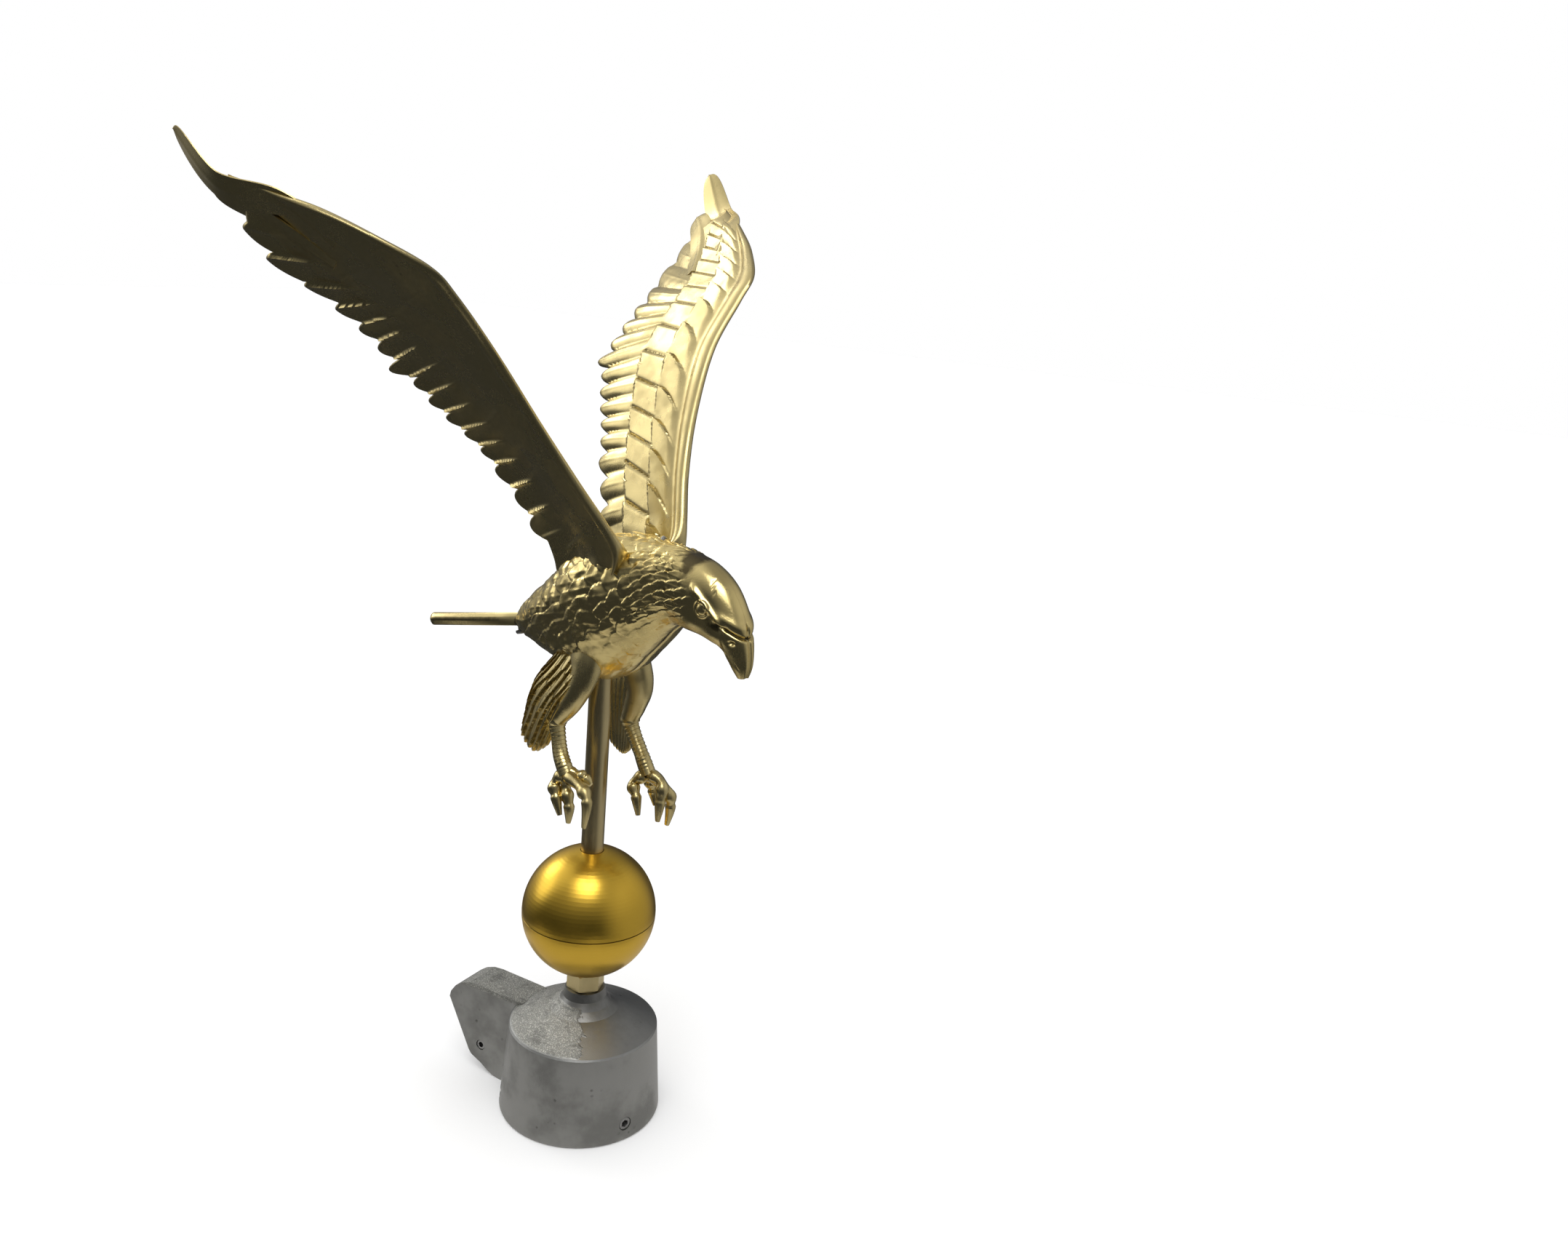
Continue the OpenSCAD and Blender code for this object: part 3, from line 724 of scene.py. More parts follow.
@dataclass
class Body:
    """The eagle's body and head, split into two halves on the flight line.

    line gives [x, z, lean in degrees, height above, depth below, half width] from rump to beak tip.
    """

    line: tuple[tuple[float, ...], ...] = (
        (-72, 280, 12, 3, 3, 8), (-60, 284, 22, 8, 8, 14), (-44, 290, 25, 13, 21, 20),
        (-26, 297, 25, 19, 31, 25), (-8, 304, 25, 27, 40, 27), (10, 311, 25, 33, 38, 28),
        (26, 318, 22, 32, 32, 26), (40, 323, 18, 27, 26, 22), (52, 327, 10, 23, 21, 18),
        (64, 329, 0, 21, 17, 15.5), (76, 328, -12, 20, 17, 14.5), (87, 324, -25, 18, 14, 13),
        (96, 318, -38, 14, 11, 10.5), (102, 313, -50, 9.5, 9, 7.5), (105.5, 307, -62, 7, 7, 5.6),
        (107.5, 301, -74, 5, 5, 4), (108.5, 296, -82, 2.4, 2.6, 2))
    rings: int = 560
    around: int = 150
    gap: float = 0.04

    def skin(self) -> tuple[Array, Array, Array]:
        """Smooth left half: at angle g from belly to back, y is the half width times cos(g)^0.85.

        Returns:
            The grid of points, the share u along each ring and the angle g in degrees of each column.
        """
        u = np.linspace(0, 1, self.rings)
        s = curve(np.array(self.line), u)
        g = np.linspace(-90, 90, self.around)
        lean = np.radians(s[:, 2])
        up = np.stack([-np.sin(lean), 0 * lean, np.cos(lean)], axis=-1)
        centre = np.stack([s[:, 0], 0 * lean, s[:, 1]], axis=-1)
        sine, cosine = np.sin(np.radians(g)), np.maximum(np.cos(np.radians(g)), 0) ** 0.85
        reach = np.where(g[None] < 0, s[:, 4:5], s[:, 3:4]) * sine
        grid = centre[:, None] + up[:, None] * reach[..., None]
        grid[..., 1] = s[:, 5:6] * cosine
        return grid, u, g

    def plumage(self, grid: Array, g: Array) -> Array:
        """Feather relief: hackles on the neck, round scales on the flank, faint ones on the belly.

        Args:
            grid: the smooth skin's points.
            g: angle of each column in degrees.

        Returns:
            Height in mm.
        """
        x, z = grid[..., 0], grid[..., 2]
        spread = np.linalg.norm(np.gradient(grid, axis=1), axis=-1)
        across = np.cumsum(spread, axis=1) - np.sum(spread[:, : len(g) // 2], axis=1, keepdims=True)
        middle = grid[:, len(g) // 2]
        down = np.cumsum(np.linalg.norm(np.gradient(middle, axis=0), axis=-1))[::-1][:, None]
        wander = 2.2 * mottle(grid, 14)
        flank = shingles((down + wander - 0.1 * across) / 7.4, (across + wander) / 9.2,
                         point=0.55, tilt=0.3)
        hackle = shingles((down + wander) / 7.5, (across + 0.6 * wander) / 4.6,
                          point=0.75, tilt=0.35)
        neck = ease(x, 36, 52)
        head = ease(x - 0.35 * (z - 325) + 1.1 * np.maximum(z - 331, 0), 70, 82)
        low = ease(np.broadcast_to(g, x.shape) + 12 * mottle(grid, 22), -46, -22)
        rump = 1 - ease(x, -64, -52)
        scales = flank * (1 - neck) * 2.0 + hackle * neck * 1.4
        mess = 0.5 * mottle(grid, 3.2) + 0.4 * mottle(grid, 6.5)
        strength = (1 - head) * (1 - rump) * (0.14 + 0.86 * low)
        return (scales + mess) * strength

    def features(self, grid: Array) -> Array:
        """Head relief: bells and steps for brow, eye in its ring, lore, cere, nostril, gape and cheek.

        Args:
            grid: the smooth skin's points.

        Returns:
            Height in mm.
        """
        x, y, z = grid[..., 0], grid[..., 1], grid[..., 2]
        eye = np.hypot(x - 88.5, z - 327.5)
        side = ease(y, 3.0, 6.5)
        brow_line = 335.5 - 0.62 * (x - 83) - 0.012 * (x - 83) ** 2
        brow = 1.7 * bump(z, brow_line, 1.9) * ease(x, 79, 84) * (1 - ease(x, 99, 104))
        socket = -1.6 * bump(eye, 0, 6.5)
        ball = 2.3 * np.sqrt(np.maximum(1 - (eye / 3.1) ** 2, 0)) + 0.9 * bump(eye, 3.9, 0.8)
        lore = -1.3 * np.exp(-(((x - 97) / 6) ** 2 + ((z - 319.5) / 3.4) ** 2))
        slope = z + 0.45 * (x - 104)
        cere = 0.5 * (1 - ease(slope, 318, 319.4)) * ease(x, 98, 101)
        cere += (1.0 * bump(slope, 322.8, 2.4) - 1.4 * bump(slope, 319, 0.9)) * ease(x, 95, 100)
        nostril = -1.6 * np.exp(-(((x - 105.5) / 1.7) ** 2 + ((z - 313.6) / 1.1) ** 2))
        gape_line = 309.5 - 0.16 * (x - 92) - 0.035 * np.maximum(x - 96, 0) ** 2
        gape = -1.1 * bump(z, gape_line, 0.7) * ease(x, 84, 88)
        cheek = 0.8 * np.exp(-(((x - 80) / 7) ** 2 + ((z - 318) / 6) ** 2))
        return side * (brow + socket + ball + lore + nostril + gape + cheek) + cere

    def marks(self, grid: Array, g: Array) -> Array:
        """Parting groove under the breast and beak, and small casting nicks on the crown.

        Args:
            grid: the smooth skin's points.
            g: angle of each column in degrees.

        Returns:
            Height in mm.
        """
        x, y, z = grid[..., 0], grid[..., 1], grid[..., 2]
        below = (g < 0)[None] * ease(x, 18, 30)
        beak = ease(x + 0.4 * (318 - z), 106.5, 109.5)
        parting = -(1.7 * below + 1.1 * beak) * bump(y, 0, 0.9)
        nicks = np.zeros_like(x)
        for k in range(3):
            away = np.hypot((x - 90 - 1.6 * k) / 0.45, (z - 341 + 2.4 * k) / 1.3)
            nicks -= 0.35 * bump(away, 0, 1.0) * (g > 25)[None] * ease(y, 0.5, 2)
        return parting + nicks

    def half(self) -> Shell:
        """The left half: relief moves each point along its normal, less at the seam.

        Returns:
            The closed shell.
        """
        grid, _, g = self.skin()
        normal = grid_normals(grid)
        normal *= np.sign(np.sum(normal * (0, 1, 0), axis=-1).mean())
        plumage, features, marks = self.plumage(grid, g), self.features(grid), self.marks(grid, g)
        rise = plumage + features + marks
        still = np.minimum(1, grid[..., 1] / 1.2)[..., None]
        moved = grid + normal * (rise[..., None] * (0.25 + 0.75 * still))
        moved[..., 1] = np.maximum(moved[..., 1], 0) + self.gap
        moved[:, [0, -1], 1] = self.gap
        clean = ease(grid[..., 0] - 0.35 * (grid[..., 2] - 325), 66, 80)
        low = ease(np.broadcast_to(g, rise.shape), -60, -25)
        # relief tone, which the finish paints as shade where it is low: in the gaps between scales and in
        # the head's grooves; the parting line it darkens is a dark joint
        tone = np.clip(plumage / 1.1, 0, 1) * (1 - clean) * low + clean + (1 - clean) * (1 - low) * 0.75
        grooves = np.clip(-(features + marks) / 1.2, 0, 1)
        return closed_tube(moved, np.clip(tone - 0.9 * grooves, 0, 1))

    def build(self) -> None:
        """Makes both halves, which stand for the two cast body halves."""
        left = self.half()
        for name, shell in (("body_left", left), ("body_right", mirrored(left))):
            piece = make_piece(f"eagle_{name}", [shell], finish(Finish.PLATE), crease=75)
            place(piece, name, GOLD_SLOT)


@dataclass
class Wing:
    """One raised wing: a closed sheet with coverts and toothed flight feathers, and two long feathers.

    lead and trail are the sheet's two edges from root to tip, for the left wing. tips are the places
    of the feather tips along trail, from the outermost that the sheet carries to the innermost. bead
    is the size of the rolled leading edge at the root, and bank leans both wings, in degrees. longest
    is the feather that stands out of the row, and hand_end is the share of the span the sheet covers.
    """

    lead: tuple[Triple, ...] = (
        (34, 17, 338), (37, 22, 350), (22, 36, 379), (10, 51, 408), (1, 70, 441), (-1, 90, 467),
        (-4, 102, 480), (-23, 118, 492), (-43, 131, 501), (-66, 146, 508), (-95, 161, 517),
        (-111, 168, 533))
    trail: tuple[Triple, ...] = (
        (-26, 15, 308), (-32, 22, 339), (-52, 37, 377), (-73, 53, 401), (-92, 70, 425), (-97, 96, 451),
        (-105, 120, 469), (-107, 136, 484), (-109, 150, 502), (-113, 160, 518), (-115, 166, 528),
        (-112, 168.5, 534))
    tips: tuple[float, ...] = (0.655, 0.56, 0.497, 0.452, 0.42, 0.389, 0.357, 0.326, 0.294, 0.263, 0.231,
                               0.2, 0.168, 0.137, 0.105)
    longest: int = 6
    hand_end: float = 0.86
    bead: float = 6.0
    bank: float = 1.63
    rings: int = 520
    chordwise: int = 84

    def sheet(self, u: Array, v: Array) -> Array:
        """Middle surface: a straight line from lead to trail at share u, arched along its normal.

        Args:
            u: share of the span.
            v: share of the chord.

        Returns:
            Places in mm; the arch is 20 (1 - u/2) v (1 - v) (v - 0.2).
        """
        u, v = np.broadcast_arrays(u, v)
        front, rear = curve(self.lead, u), curve(self.trail, u)
        ahead = curve(self.lead, np.minimum(u + 0.02, 1)) - curve(self.lead, np.maximum(u - 0.02, 0))
        normal = unit(np.cross(ahead, rear - front + (-1, 0, 0)))
        arch = 20 * (1 - 0.5 * u) * v * (1 - v) * (v - 0.2)
        return front + (rear - front) * v[..., None] + normal * arch[..., None]

    def outward(self, u: Array, v: Array) -> Array:
        """Unit normal on the wing's upper side: cross product of the differences along u and v.

        Args:
            u: share of the span.
            v: share of the chord.

        Returns:
            One normal a place.
        """
        du = self.sheet(np.minimum(u + 0.01, 1), v) - self.sheet(np.maximum(u - 0.01, 0), v)
        dv = self.sheet(u, np.minimum(v + 0.01, 1)) - self.sheet(u, np.maximum(v - 0.01, 0))
        normal = unit(np.cross(du, dv))
        return normal * np.sign(0.2 * normal[..., 2:3] - normal[..., 1:2] + 1e-9)

    def feather(self, u: Array) -> tuple[Array, Array]:
        """Which flight feather is at u: it reaches halfway to the tips of its two neighbours.

        Args:
            u: share of the span.

        Returns:
            The feather's number, counted inwards, and the share of its width from its outer side.
        """
        tips = np.array(self.tips)
        middle = 0.5 * (tips[:-1] + tips[1:])
        edges = np.concatenate([[tips[0] + 0.03], middle, [tips[-1] - 0.016]])[::-1]
        number = np.clip(np.searchsorted(edges, u) - 1, 0, len(tips) - 1)
        share = 1 - (u - edges[number]) / (edges[number + 1] - edges[number])
        return len(tips) - 1 - number, np.clip(share, 0, 1)

    def reach(self, u: Array) -> Array:
        """Share of the chord that the sheet takes: rounded feather tips, whose notches are 7 mm deep.

        The tip of an outer feather lies near its outer side, that of an inner feather at its middle.
        From the tip the edge draws back by depth * away^2.2.

        Args:
            u: share of the span.

        Returns:
            The share of the chord at which the sheet ends.
        """
        number, share = self.feather(u)
        tip = 0.22 + 0.28 * ease(number, 1, 6)
        away = np.where(share < tip, (tip - share) / tip, (share - tip) / (1 - tip))
        depth = 0.06 + 0.05 * ease(number, 1, 6)
        edge = 1.01 - depth * away**2.2 + 0.03 * (chance(number) - 0.5)
        edge = edge + np.where(number == self.longest, 0.06 * (1 - away**2), 0)
        return edge * (1 - 0.72 * ease(u, 0.665, self.hand_end))

    def skew(self, u: Array, v: Array) -> Array:
        """Place along the wing at which a feather through (u, v) ends: outer feathers run to the tip."""
        return u + (0.155 * ease(u, 0.38, 0.56) - 0.045) * (1 - v)

    def upper(self, u: Array, v: Array) -> tuple[Array, Array]:
        """Upper side over the middle surface.

        The rolled edge is half an ellipse; the coverts are saw teeth that rise towards the wing's tip
        and drop at a curved ledge; the flight feathers are domes 1 - |2 s - 1|^2.4 of their share s.

        Args:
            u: share of the span.
            v: share of the chord.

        Returns:
            Height in mm, and the relief tone.
        """
        size = self.bead * (1 - 0.5 * u)
        roll = half_round(v, 0.062)
        flat = 0.19 + 0.12 * bump(v, 0.3, 0.14) - 0.06 * ease(v, 0.35, 0.72)
        base = size * np.maximum(0.56 * roll, flat * ease(v, 0.0, 0.06))
        base = base - 0.05 * size * bump(v, 0.145, 0.02)
        gone = 1 - ease(u, 0.70, 0.8)
        born = ease(u, 0.06, 0.1)
        split = 0.37 + 0.02 * np.sin(9 * u)
        end = 0.60 + 0.07 * (1 - ease(u, 0.1, 0.4))
        near = np.clip((v - 0.15) / (split - 0.15), 0, 1)
        far = np.clip((v - split) / (end - split), 0, 1)
        lesser = np.mod(u * 19.5 + 0.85 * (1 - near) ** 1.6, 1.0)
        middle = np.mod(u * 21.0 + 0.3 + 0.30 * (1 - far), 1.0)
        in_b, in_a = (v > 0.15) & (v < split), (v >= split) & (v < end)
        ledge = lesser**0.8 * ease(lesser, 0, 0.05)
        row_b = np.where(in_b, ledge * (0.15 + 0.85 * near) * ease(near, 0, 0.3), 0)
        ledge = 0.35 + 0.65 * middle - 0.45 * bump(middle, 0, 0.07) - 0.45 * bump(middle, 1, 0.07)
        row_a = np.where(in_a, ledge, 0) * np.where(in_a, 0.55 + 0.45 * far, 0)
        _, share = self.feather(self.skew(u, v))
        dome = 1 - np.abs(2 * share - 1) ** 2.4
        quill = 0.12 * bump(share, 0.5, 0.05)
        fingers = np.where(v >= end, (dome + quill) * (0.5 + 0.5 * ease(v, end, 0.9)), 0)
        hand = ease(u, 0.45, 0.6)
        height = born * gone * (3.0 * row_b + 2.5 * row_a + (2.1 - 0.9 * hand) * fingers)
        # relief tone, which the finish paints as shade where it is low: at the foot of each covert ledge,
        # between flight feathers and in the crease behind the rolled edge
        tone = np.ones(np.broadcast(u, v).shape)
        tone = np.where(in_b, 0.35 + 0.65 * row_b + 0.6 * (1 - near), tone)
        tone = np.where(in_a, 0.2 + 1.0 * row_a, tone)
        tone = np.where(v >= end, 0.25 + 0.75 * dome, tone)
        tone = 1 - (1 - np.clip(tone, 0, 1)) * born * gone
        return base + height, tone - 0.3 * bump(v, 0.14, 0.015)

    def lower(self, u: Array, v: Array) -> tuple[Array, Array]:
        """Lower side under the middle surface: smooth, then hollow feathers between thin ribs.

        A rib is a bell at the feather's side; the hollow beside it is 1 - (2 s - 1)^2 of the share s.

        Args:
            u: share of the span.
            v: share of the chord.

        Returns:
            Depth in mm, and the relief tone.
        """
        size = self.bead * (1 - 0.5 * u)
        roll = half_round(v, 0.04)
        base = size * np.maximum(0.42 * roll, (0.32 - 0.2 * ease(v, 0.25, 0.6)) * ease(v, 0.0, 0.05))
        _, share = self.feather(self.skew(u, v))
        ribs = ease(v, 0.5 + 0.16 * ease(u, 0.3, 0.55), 0.82)
        ribs = ribs * ease(u, 0.06, 0.1) * (1 - ease(u, 0.66, 0.72))
        rib = bump(share, 0, 0.10) + bump(share, 1, 0.07)
        faint = 0.3 * ease(v, 0.2, 0.4) * (1 - ease(v, 0.6, 0.8)) * bump(np.mod(u * 11 + v, 1), 0.5, 0.05)
        hollow = 1 - (2 * share - 1) ** 2
        step = 0.7 * rib + 1.7 * (1 - share) - 0.6 * hollow - 0.4
        return base + ribs * step + faint, 0.75 + 0.25 * ribs * rib

    def arm(self) -> Shell:
        """The closed sheet, whose root flares into the body.

        Returns:
            The shell, upper face first around each ring.
        """
        u = np.linspace(0, self.hand_end, self.rings)[:, None]
        t = np.linspace(0, 1, self.chordwise)[None]
        v = t**1.15 * self.reach(u)
        mid, normal = self.sheet(u, v), self.outward(u, v)
        (upper, tone), (lower, shade) = self.upper(u, v), self.lower(u, v)
        soft = 0.14 * mottle(mid, 6) * ease(v, 0.1, 0.2)
        root = 1 + 2.2 * (1 - ease(u, 0.0, 0.12)) * (1 - 0.6 * ease(v, 0, 0.1) * (1 - ease(v, 0.1, 0.3)))
        fade = rounded(t, 0.955, 0.045, 0.02) * (1 - 0.6 * ease(u, 0.74, self.hand_end))
        top = mid + normal * ((upper + soft) * root * fade)[..., None]
        under = mid - normal * ((lower - soft) * root * fade)[..., None]
        return closed_tube(both_faces(top, under), np.clip(both_faces(tone, shade), 0, 1))

    def long_feathers(self) -> list[Shell]:
        """The two outermost flight feathers: the first curves up to the tip, the second parts from it.

        Returns:
            Both leaves.
        """
        u, v = np.array([0.62, 0.74, 0.56, 0.64, 0.71]), np.array([0.40, 0.33, 0.62, 0.66, 0.78])
        roots = self.sheet(u, v)
        first = np.concatenate([roots[:2], [(-95, 158, 510), (-116, 168, 534)]])
        second = np.concatenate([roots[2:], [(-110, 154, 508)]])
        flat, turned = self.outward(np.array(0.66), np.array(0.35)), np.array([-0.04, -0.90, 0.42])
        twist = ease(np.linspace(0, 1, 70), 0.25, 0.75)[:, None]
        normals = unit(flat * (1 - twist) + turned * twist)
        return [feather_blade(first, normals, 9.5, 3.6, 0.05, tip=0.5),
                feather_blade(second, normals, 8.0, 3.2, 0.10, tip=0.3)]

    def leaned(self, shell: Shell) -> Shell:
        """Turns a wing by the bank about the flight line, 300 mm up.

        Args:
            shell: a surface of either wing.

        Returns:
            The turned surface.
        """
        c, s = math.cos(math.radians(self.bank)), math.sin(math.radians(self.bank))
        turn = np.array([[1, 0, 0], [0, c, -s], [0, s, c]])
        pivot = np.array([0, 0, 300.0])
        return Shell((shell.points - pivot) @ turn.T + pivot, shell.faces, shell.relief, shell.uv)

    def build(self) -> None:
        """Makes both wings, which stand for the two cast wings."""
        shells = [self.arm(), *self.long_feathers()]
        for name, parts in (("wing_left", shells), ("wing_right", [mirrored(shell) for shell in shells])):
            leaned = [self.leaned(shell) for shell in parts]
            piece = make_piece(f"eagle_{name}", leaned, finish(Finish.FEATHER), crease=60)
            place(piece, name, GOLD_SLOT)


@dataclass
class Tail:
    """A thick fan plate on a square root, which drops 14 degrees behind the rump and rolls -8."""

    root: Triple = (-66, 0, 282)
    drop: float = 14
    roll: float = -8
    thick: float = 7.6
    feathers: int = 9
    rings: int = 150
    across: int = 130

    def lay(self, points: Array) -> Array:
        """Turns points from the tail's own plane, with -x to the rear, into the eagle's place.

        Args:
            points: places in mm, x, y, z on the last axis.

        Returns:
            The turned and moved places.
        """
        r, d = math.radians(self.roll), math.radians(self.drop)
        roll = np.array([[1, 0, 0], [0, math.cos(r), -math.sin(r)], [0, math.sin(r), math.cos(r)]])
        drop = np.array([[math.cos(d), 0, -math.sin(d)], [0, 1, 0], [math.sin(d), 0, math.cos(d)]])
        return points @ (drop @ roll).T + np.array(self.root)

    def build(self) -> None:
        """Makes the tail, which stands for the cast tail plate.

        Share s runs along it and q across it; its half width grows from 9 to 30 mm, its rear end is an
        arc of 66 mm with a scallop for each feather, and each feather is a shallow dome between grooves.
        """
        s = np.linspace(0, 1, self.rings)[:, None] ** 0.9
        q = np.linspace(-1, 1, self.across)[None]
        wide = 9 + 21 * ease(0.5 + 0.5 * s, 0.5, 1.06) * (0.6 + 0.4 * s)
        scallop = 1 - np.abs(np.cos(np.pi * self.feathers / 2 * q)) ** 0.7
        rear = 4 + 66 * np.cos(np.radians(27 * q)) - 3.2 * scallop
        share = np.mod(self.feathers / 2 * q + 0.5 * (self.feathers % 2), 1.0)
        dome = 1 - np.abs(2 * share - 1) ** 2.2
        shown = ease(s, 0.15, 0.35)
        side, end = rounded(np.abs(q), 0.9, 0.1, 0.12), rounded(s, 0.96, 0.04, 0.01)
        half = 0.5 * self.thick * (0.72 + 0.28 * (shown * dome + 1 - shown)) * side * end
        flat = np.stack(np.broadcast_arrays(6 * (1 - s) - s * rear, wide * q, 0 * s), axis=-1)
        rise = half[..., None] * np.array([0, 0, 1.0])
        # relief tone, which the finish paints as shade in the grooves between tail feathers
        tone = 1 - shown * (1 - dome) * 0.8
        shell = closed_tube(self.lay(both_faces(flat + rise, flat - rise)), both_faces(tone, tone))
        place(make_piece("eagle_tail", [shell], finish(Finish.FEATHER), crease=60), "tail", GOLD_SLOT)


@dataclass(frozen=True)
class LegShape:
    """Paths of one leg.

    limb rows are [x, y, z, fore-and-aft radius, side radius]. fan holds four feather lines from the
    rear one to the front one, each with four points from hip to tip. toes hold four points each.
    """

    node: str
    limb: tuple[tuple[float, ...], ...]
    fan: tuple[tuple[Triple, ...], ...]
    toes: tuple[tuple[Triple, ...], ...]
    side: Side


class Leg:
    """A leg: a smooth thigh, a fan of layered feathers behind it, a scaly shank and four clawed toes."""

    PLATE_MM = 2.2
    FAN_FEATHERS = 10
    TOE_RADII = ((3.4, 3.2), (3.4, 3.3), (3.2, 3.0), (1.5, 1.3))

    def __init__(self, shape: LegShape) -> None:
        """Keeps the leg's shape."""
        self.shape = shape

    def limb(self, path: Array, steps: int, sides: int,
             detail: Callable[[Array, Array, Array], Array]) -> Shell:
        """A tube along a path: each ring is an ellipse across the path whose radius takes a relief.

        Args:
            path: rows of [x, y, z, fore-and-aft radius, side radius].
            steps: rings along it.
            sides: vertices a ring, an even number.
            detail: relief in mm from the share along the path, the angle round it and the ring centres.

        Returns:
            The closed tube.
        """
        u = np.linspace(0, 1, steps)
        q = curve(np.array(path, float), u)
        centre = q[:, :3]
        ahead = unit(np.gradient(centre, axis=0))
        fore = unit(np.cross(np.array([0.13, 1.0, 0.07]), ahead))
        side = np.cross(fore, ahead)
        a = (np.arange(sides) + 0.5) * 2 * np.pi / sides
        rise = detail(u[:, None], a[None], centre)
        c, s = np.cos(a)[None, :, None], np.sin(a)[None, :, None]
        along = (q[:, 3][:, None, None] * c + rise[..., None] * c) * fore[:, None]
        aside = (q[:, 4][:, None, None] * s + rise[..., None] * s) * side[:, None]
        return closed_tube(centre[:, None] + along + aside, np.clip(0.85 + rise, 0, 1))

    def shank_relief(self, u: Array, a: Array, centre: Array) -> Array:
        """Cross plates down the shank: saw teeth, strongest on the rear side, under a fold of the thigh.

        Args:
            u: share along the path.
            a: angle round it, 0 in front.
            centre: ring centres.

        Returns:
            Height in mm.
        """
        down = np.linalg.norm(np.diff(centre, axis=0, prepend=centre[:1]), axis=-1).cumsum()[:, None]
        shank = ease(u, 0.58, 0.64) * (1 - ease(u, 0.9, 0.97))
        plates = np.mod(down, self.PLATE_MM) / self.PLATE_MM
        fold = 0.6 * bump(u, 0.57, 0.02)
        teeth = 0.55 * (plates - 0.5) * shank * ease(-np.cos(a), -0.5, 0.5)
        return teeth + fold + 0.2 * mottle(centre, 5)[:, None]

    def toe_relief(self, u: Array, a: Array, centre: Array) -> Array:
        """Knuckle pads along a toe in mm, a sine that fades into a smooth claw."""
        pads = 0.6 * np.sin(u * 6 * np.pi - 0.6) * (1 - ease(u, 0.6, 0.75))
        return pads + 0.25 * bump(u, 0.66, 0.03) + 0 * a

    def fan(self) -> Shell:
        """Layered feathers behind the thigh: a bulging sheet of long shingles with a scalloped end.

        The sheet runs s from hip to tip and q from rear to front; its feathers lie along s, and their
        tips show in layers because the shingle rows are shifted by q.

        Returns:
            The closed sheet.
        """
        s = np.linspace(0, 1, 190)[:, None]
        q = np.linspace(0, 1, 110)[None]
        count = self.FAN_FEATHERS
        scallop = np.abs(np.sin(np.pi * count * q)) ** 0.6
        rows = np.stack([curve(line, s[:, 0]) for line in self.shape.fan], axis=1)
        grid = np.stack([curve(row, q[0]) for row in rows])
        tips = grid[-1:] + (grid[-1:] - grid[-12:-11]) * ((scallop - 0.6) * 0.75)[..., None]
        grid = grid + (tips - grid[-1:]) * ease(s, 0.75, 1.0)[..., None]
        out = np.array([0.15, self.shape.side.value, 0.1])
        edge = np.sqrt(np.clip(1 - (2 * q - 1) ** 4, 0, 1)) * rounded(s, 0.97, 0.03, 0.03)
        down = s * 5.2 + 1.3 * (1 - q) + 0.15 * np.sin(40 * q)
        layer = shingles(down, q * count + 0.3 * s, point=0.9, tilt=0.45)
        barbs = 0.10 * np.sin(q * count * 22 + 14 * s)
        bulge = (2.4 - 1.2 * s) * edge * ease(s, 0.0, 0.4)
        rise = bulge + (2.7 * layer - 0.7 + barbs) * edge * ease(s, 0.05, 0.4)
        upper = grid + out * rise[..., None]
        lower = grid - out * ((1.6 - 0.8 * s) * edge + 0.5 * scallop * s * edge)[..., None]
        # relief tone, which the finish paints as shade in the gaps between the fan's feathers
        tone = np.clip(layer / 0.75, 0, 1)
        shade = np.broadcast_to(0.55 + 0.3 * scallop, tone.shape)
        return closed_tube(both_faces(upper, lower), both_faces(tone, shade))

    def build(self) -> None:
        """Makes the leg, which stands for the cast leg."""
        parts = [self.limb(self.shape.limb, 200, 56, self.shank_relief), self.fan()]
        for toe in self.shape.toes:
            path = np.array([(*point, *radii) for point, radii in zip(toe, self.TOE_RADII)])
            parts.append(self.limb(path, 54, 22, self.toe_relief))
        piece = make_piece(f"eagle_{self.shape.node}", parts, finish(Finish.FEATHER), crease=60)
        place(piece, self.shape.node, GOLD_SLOT)


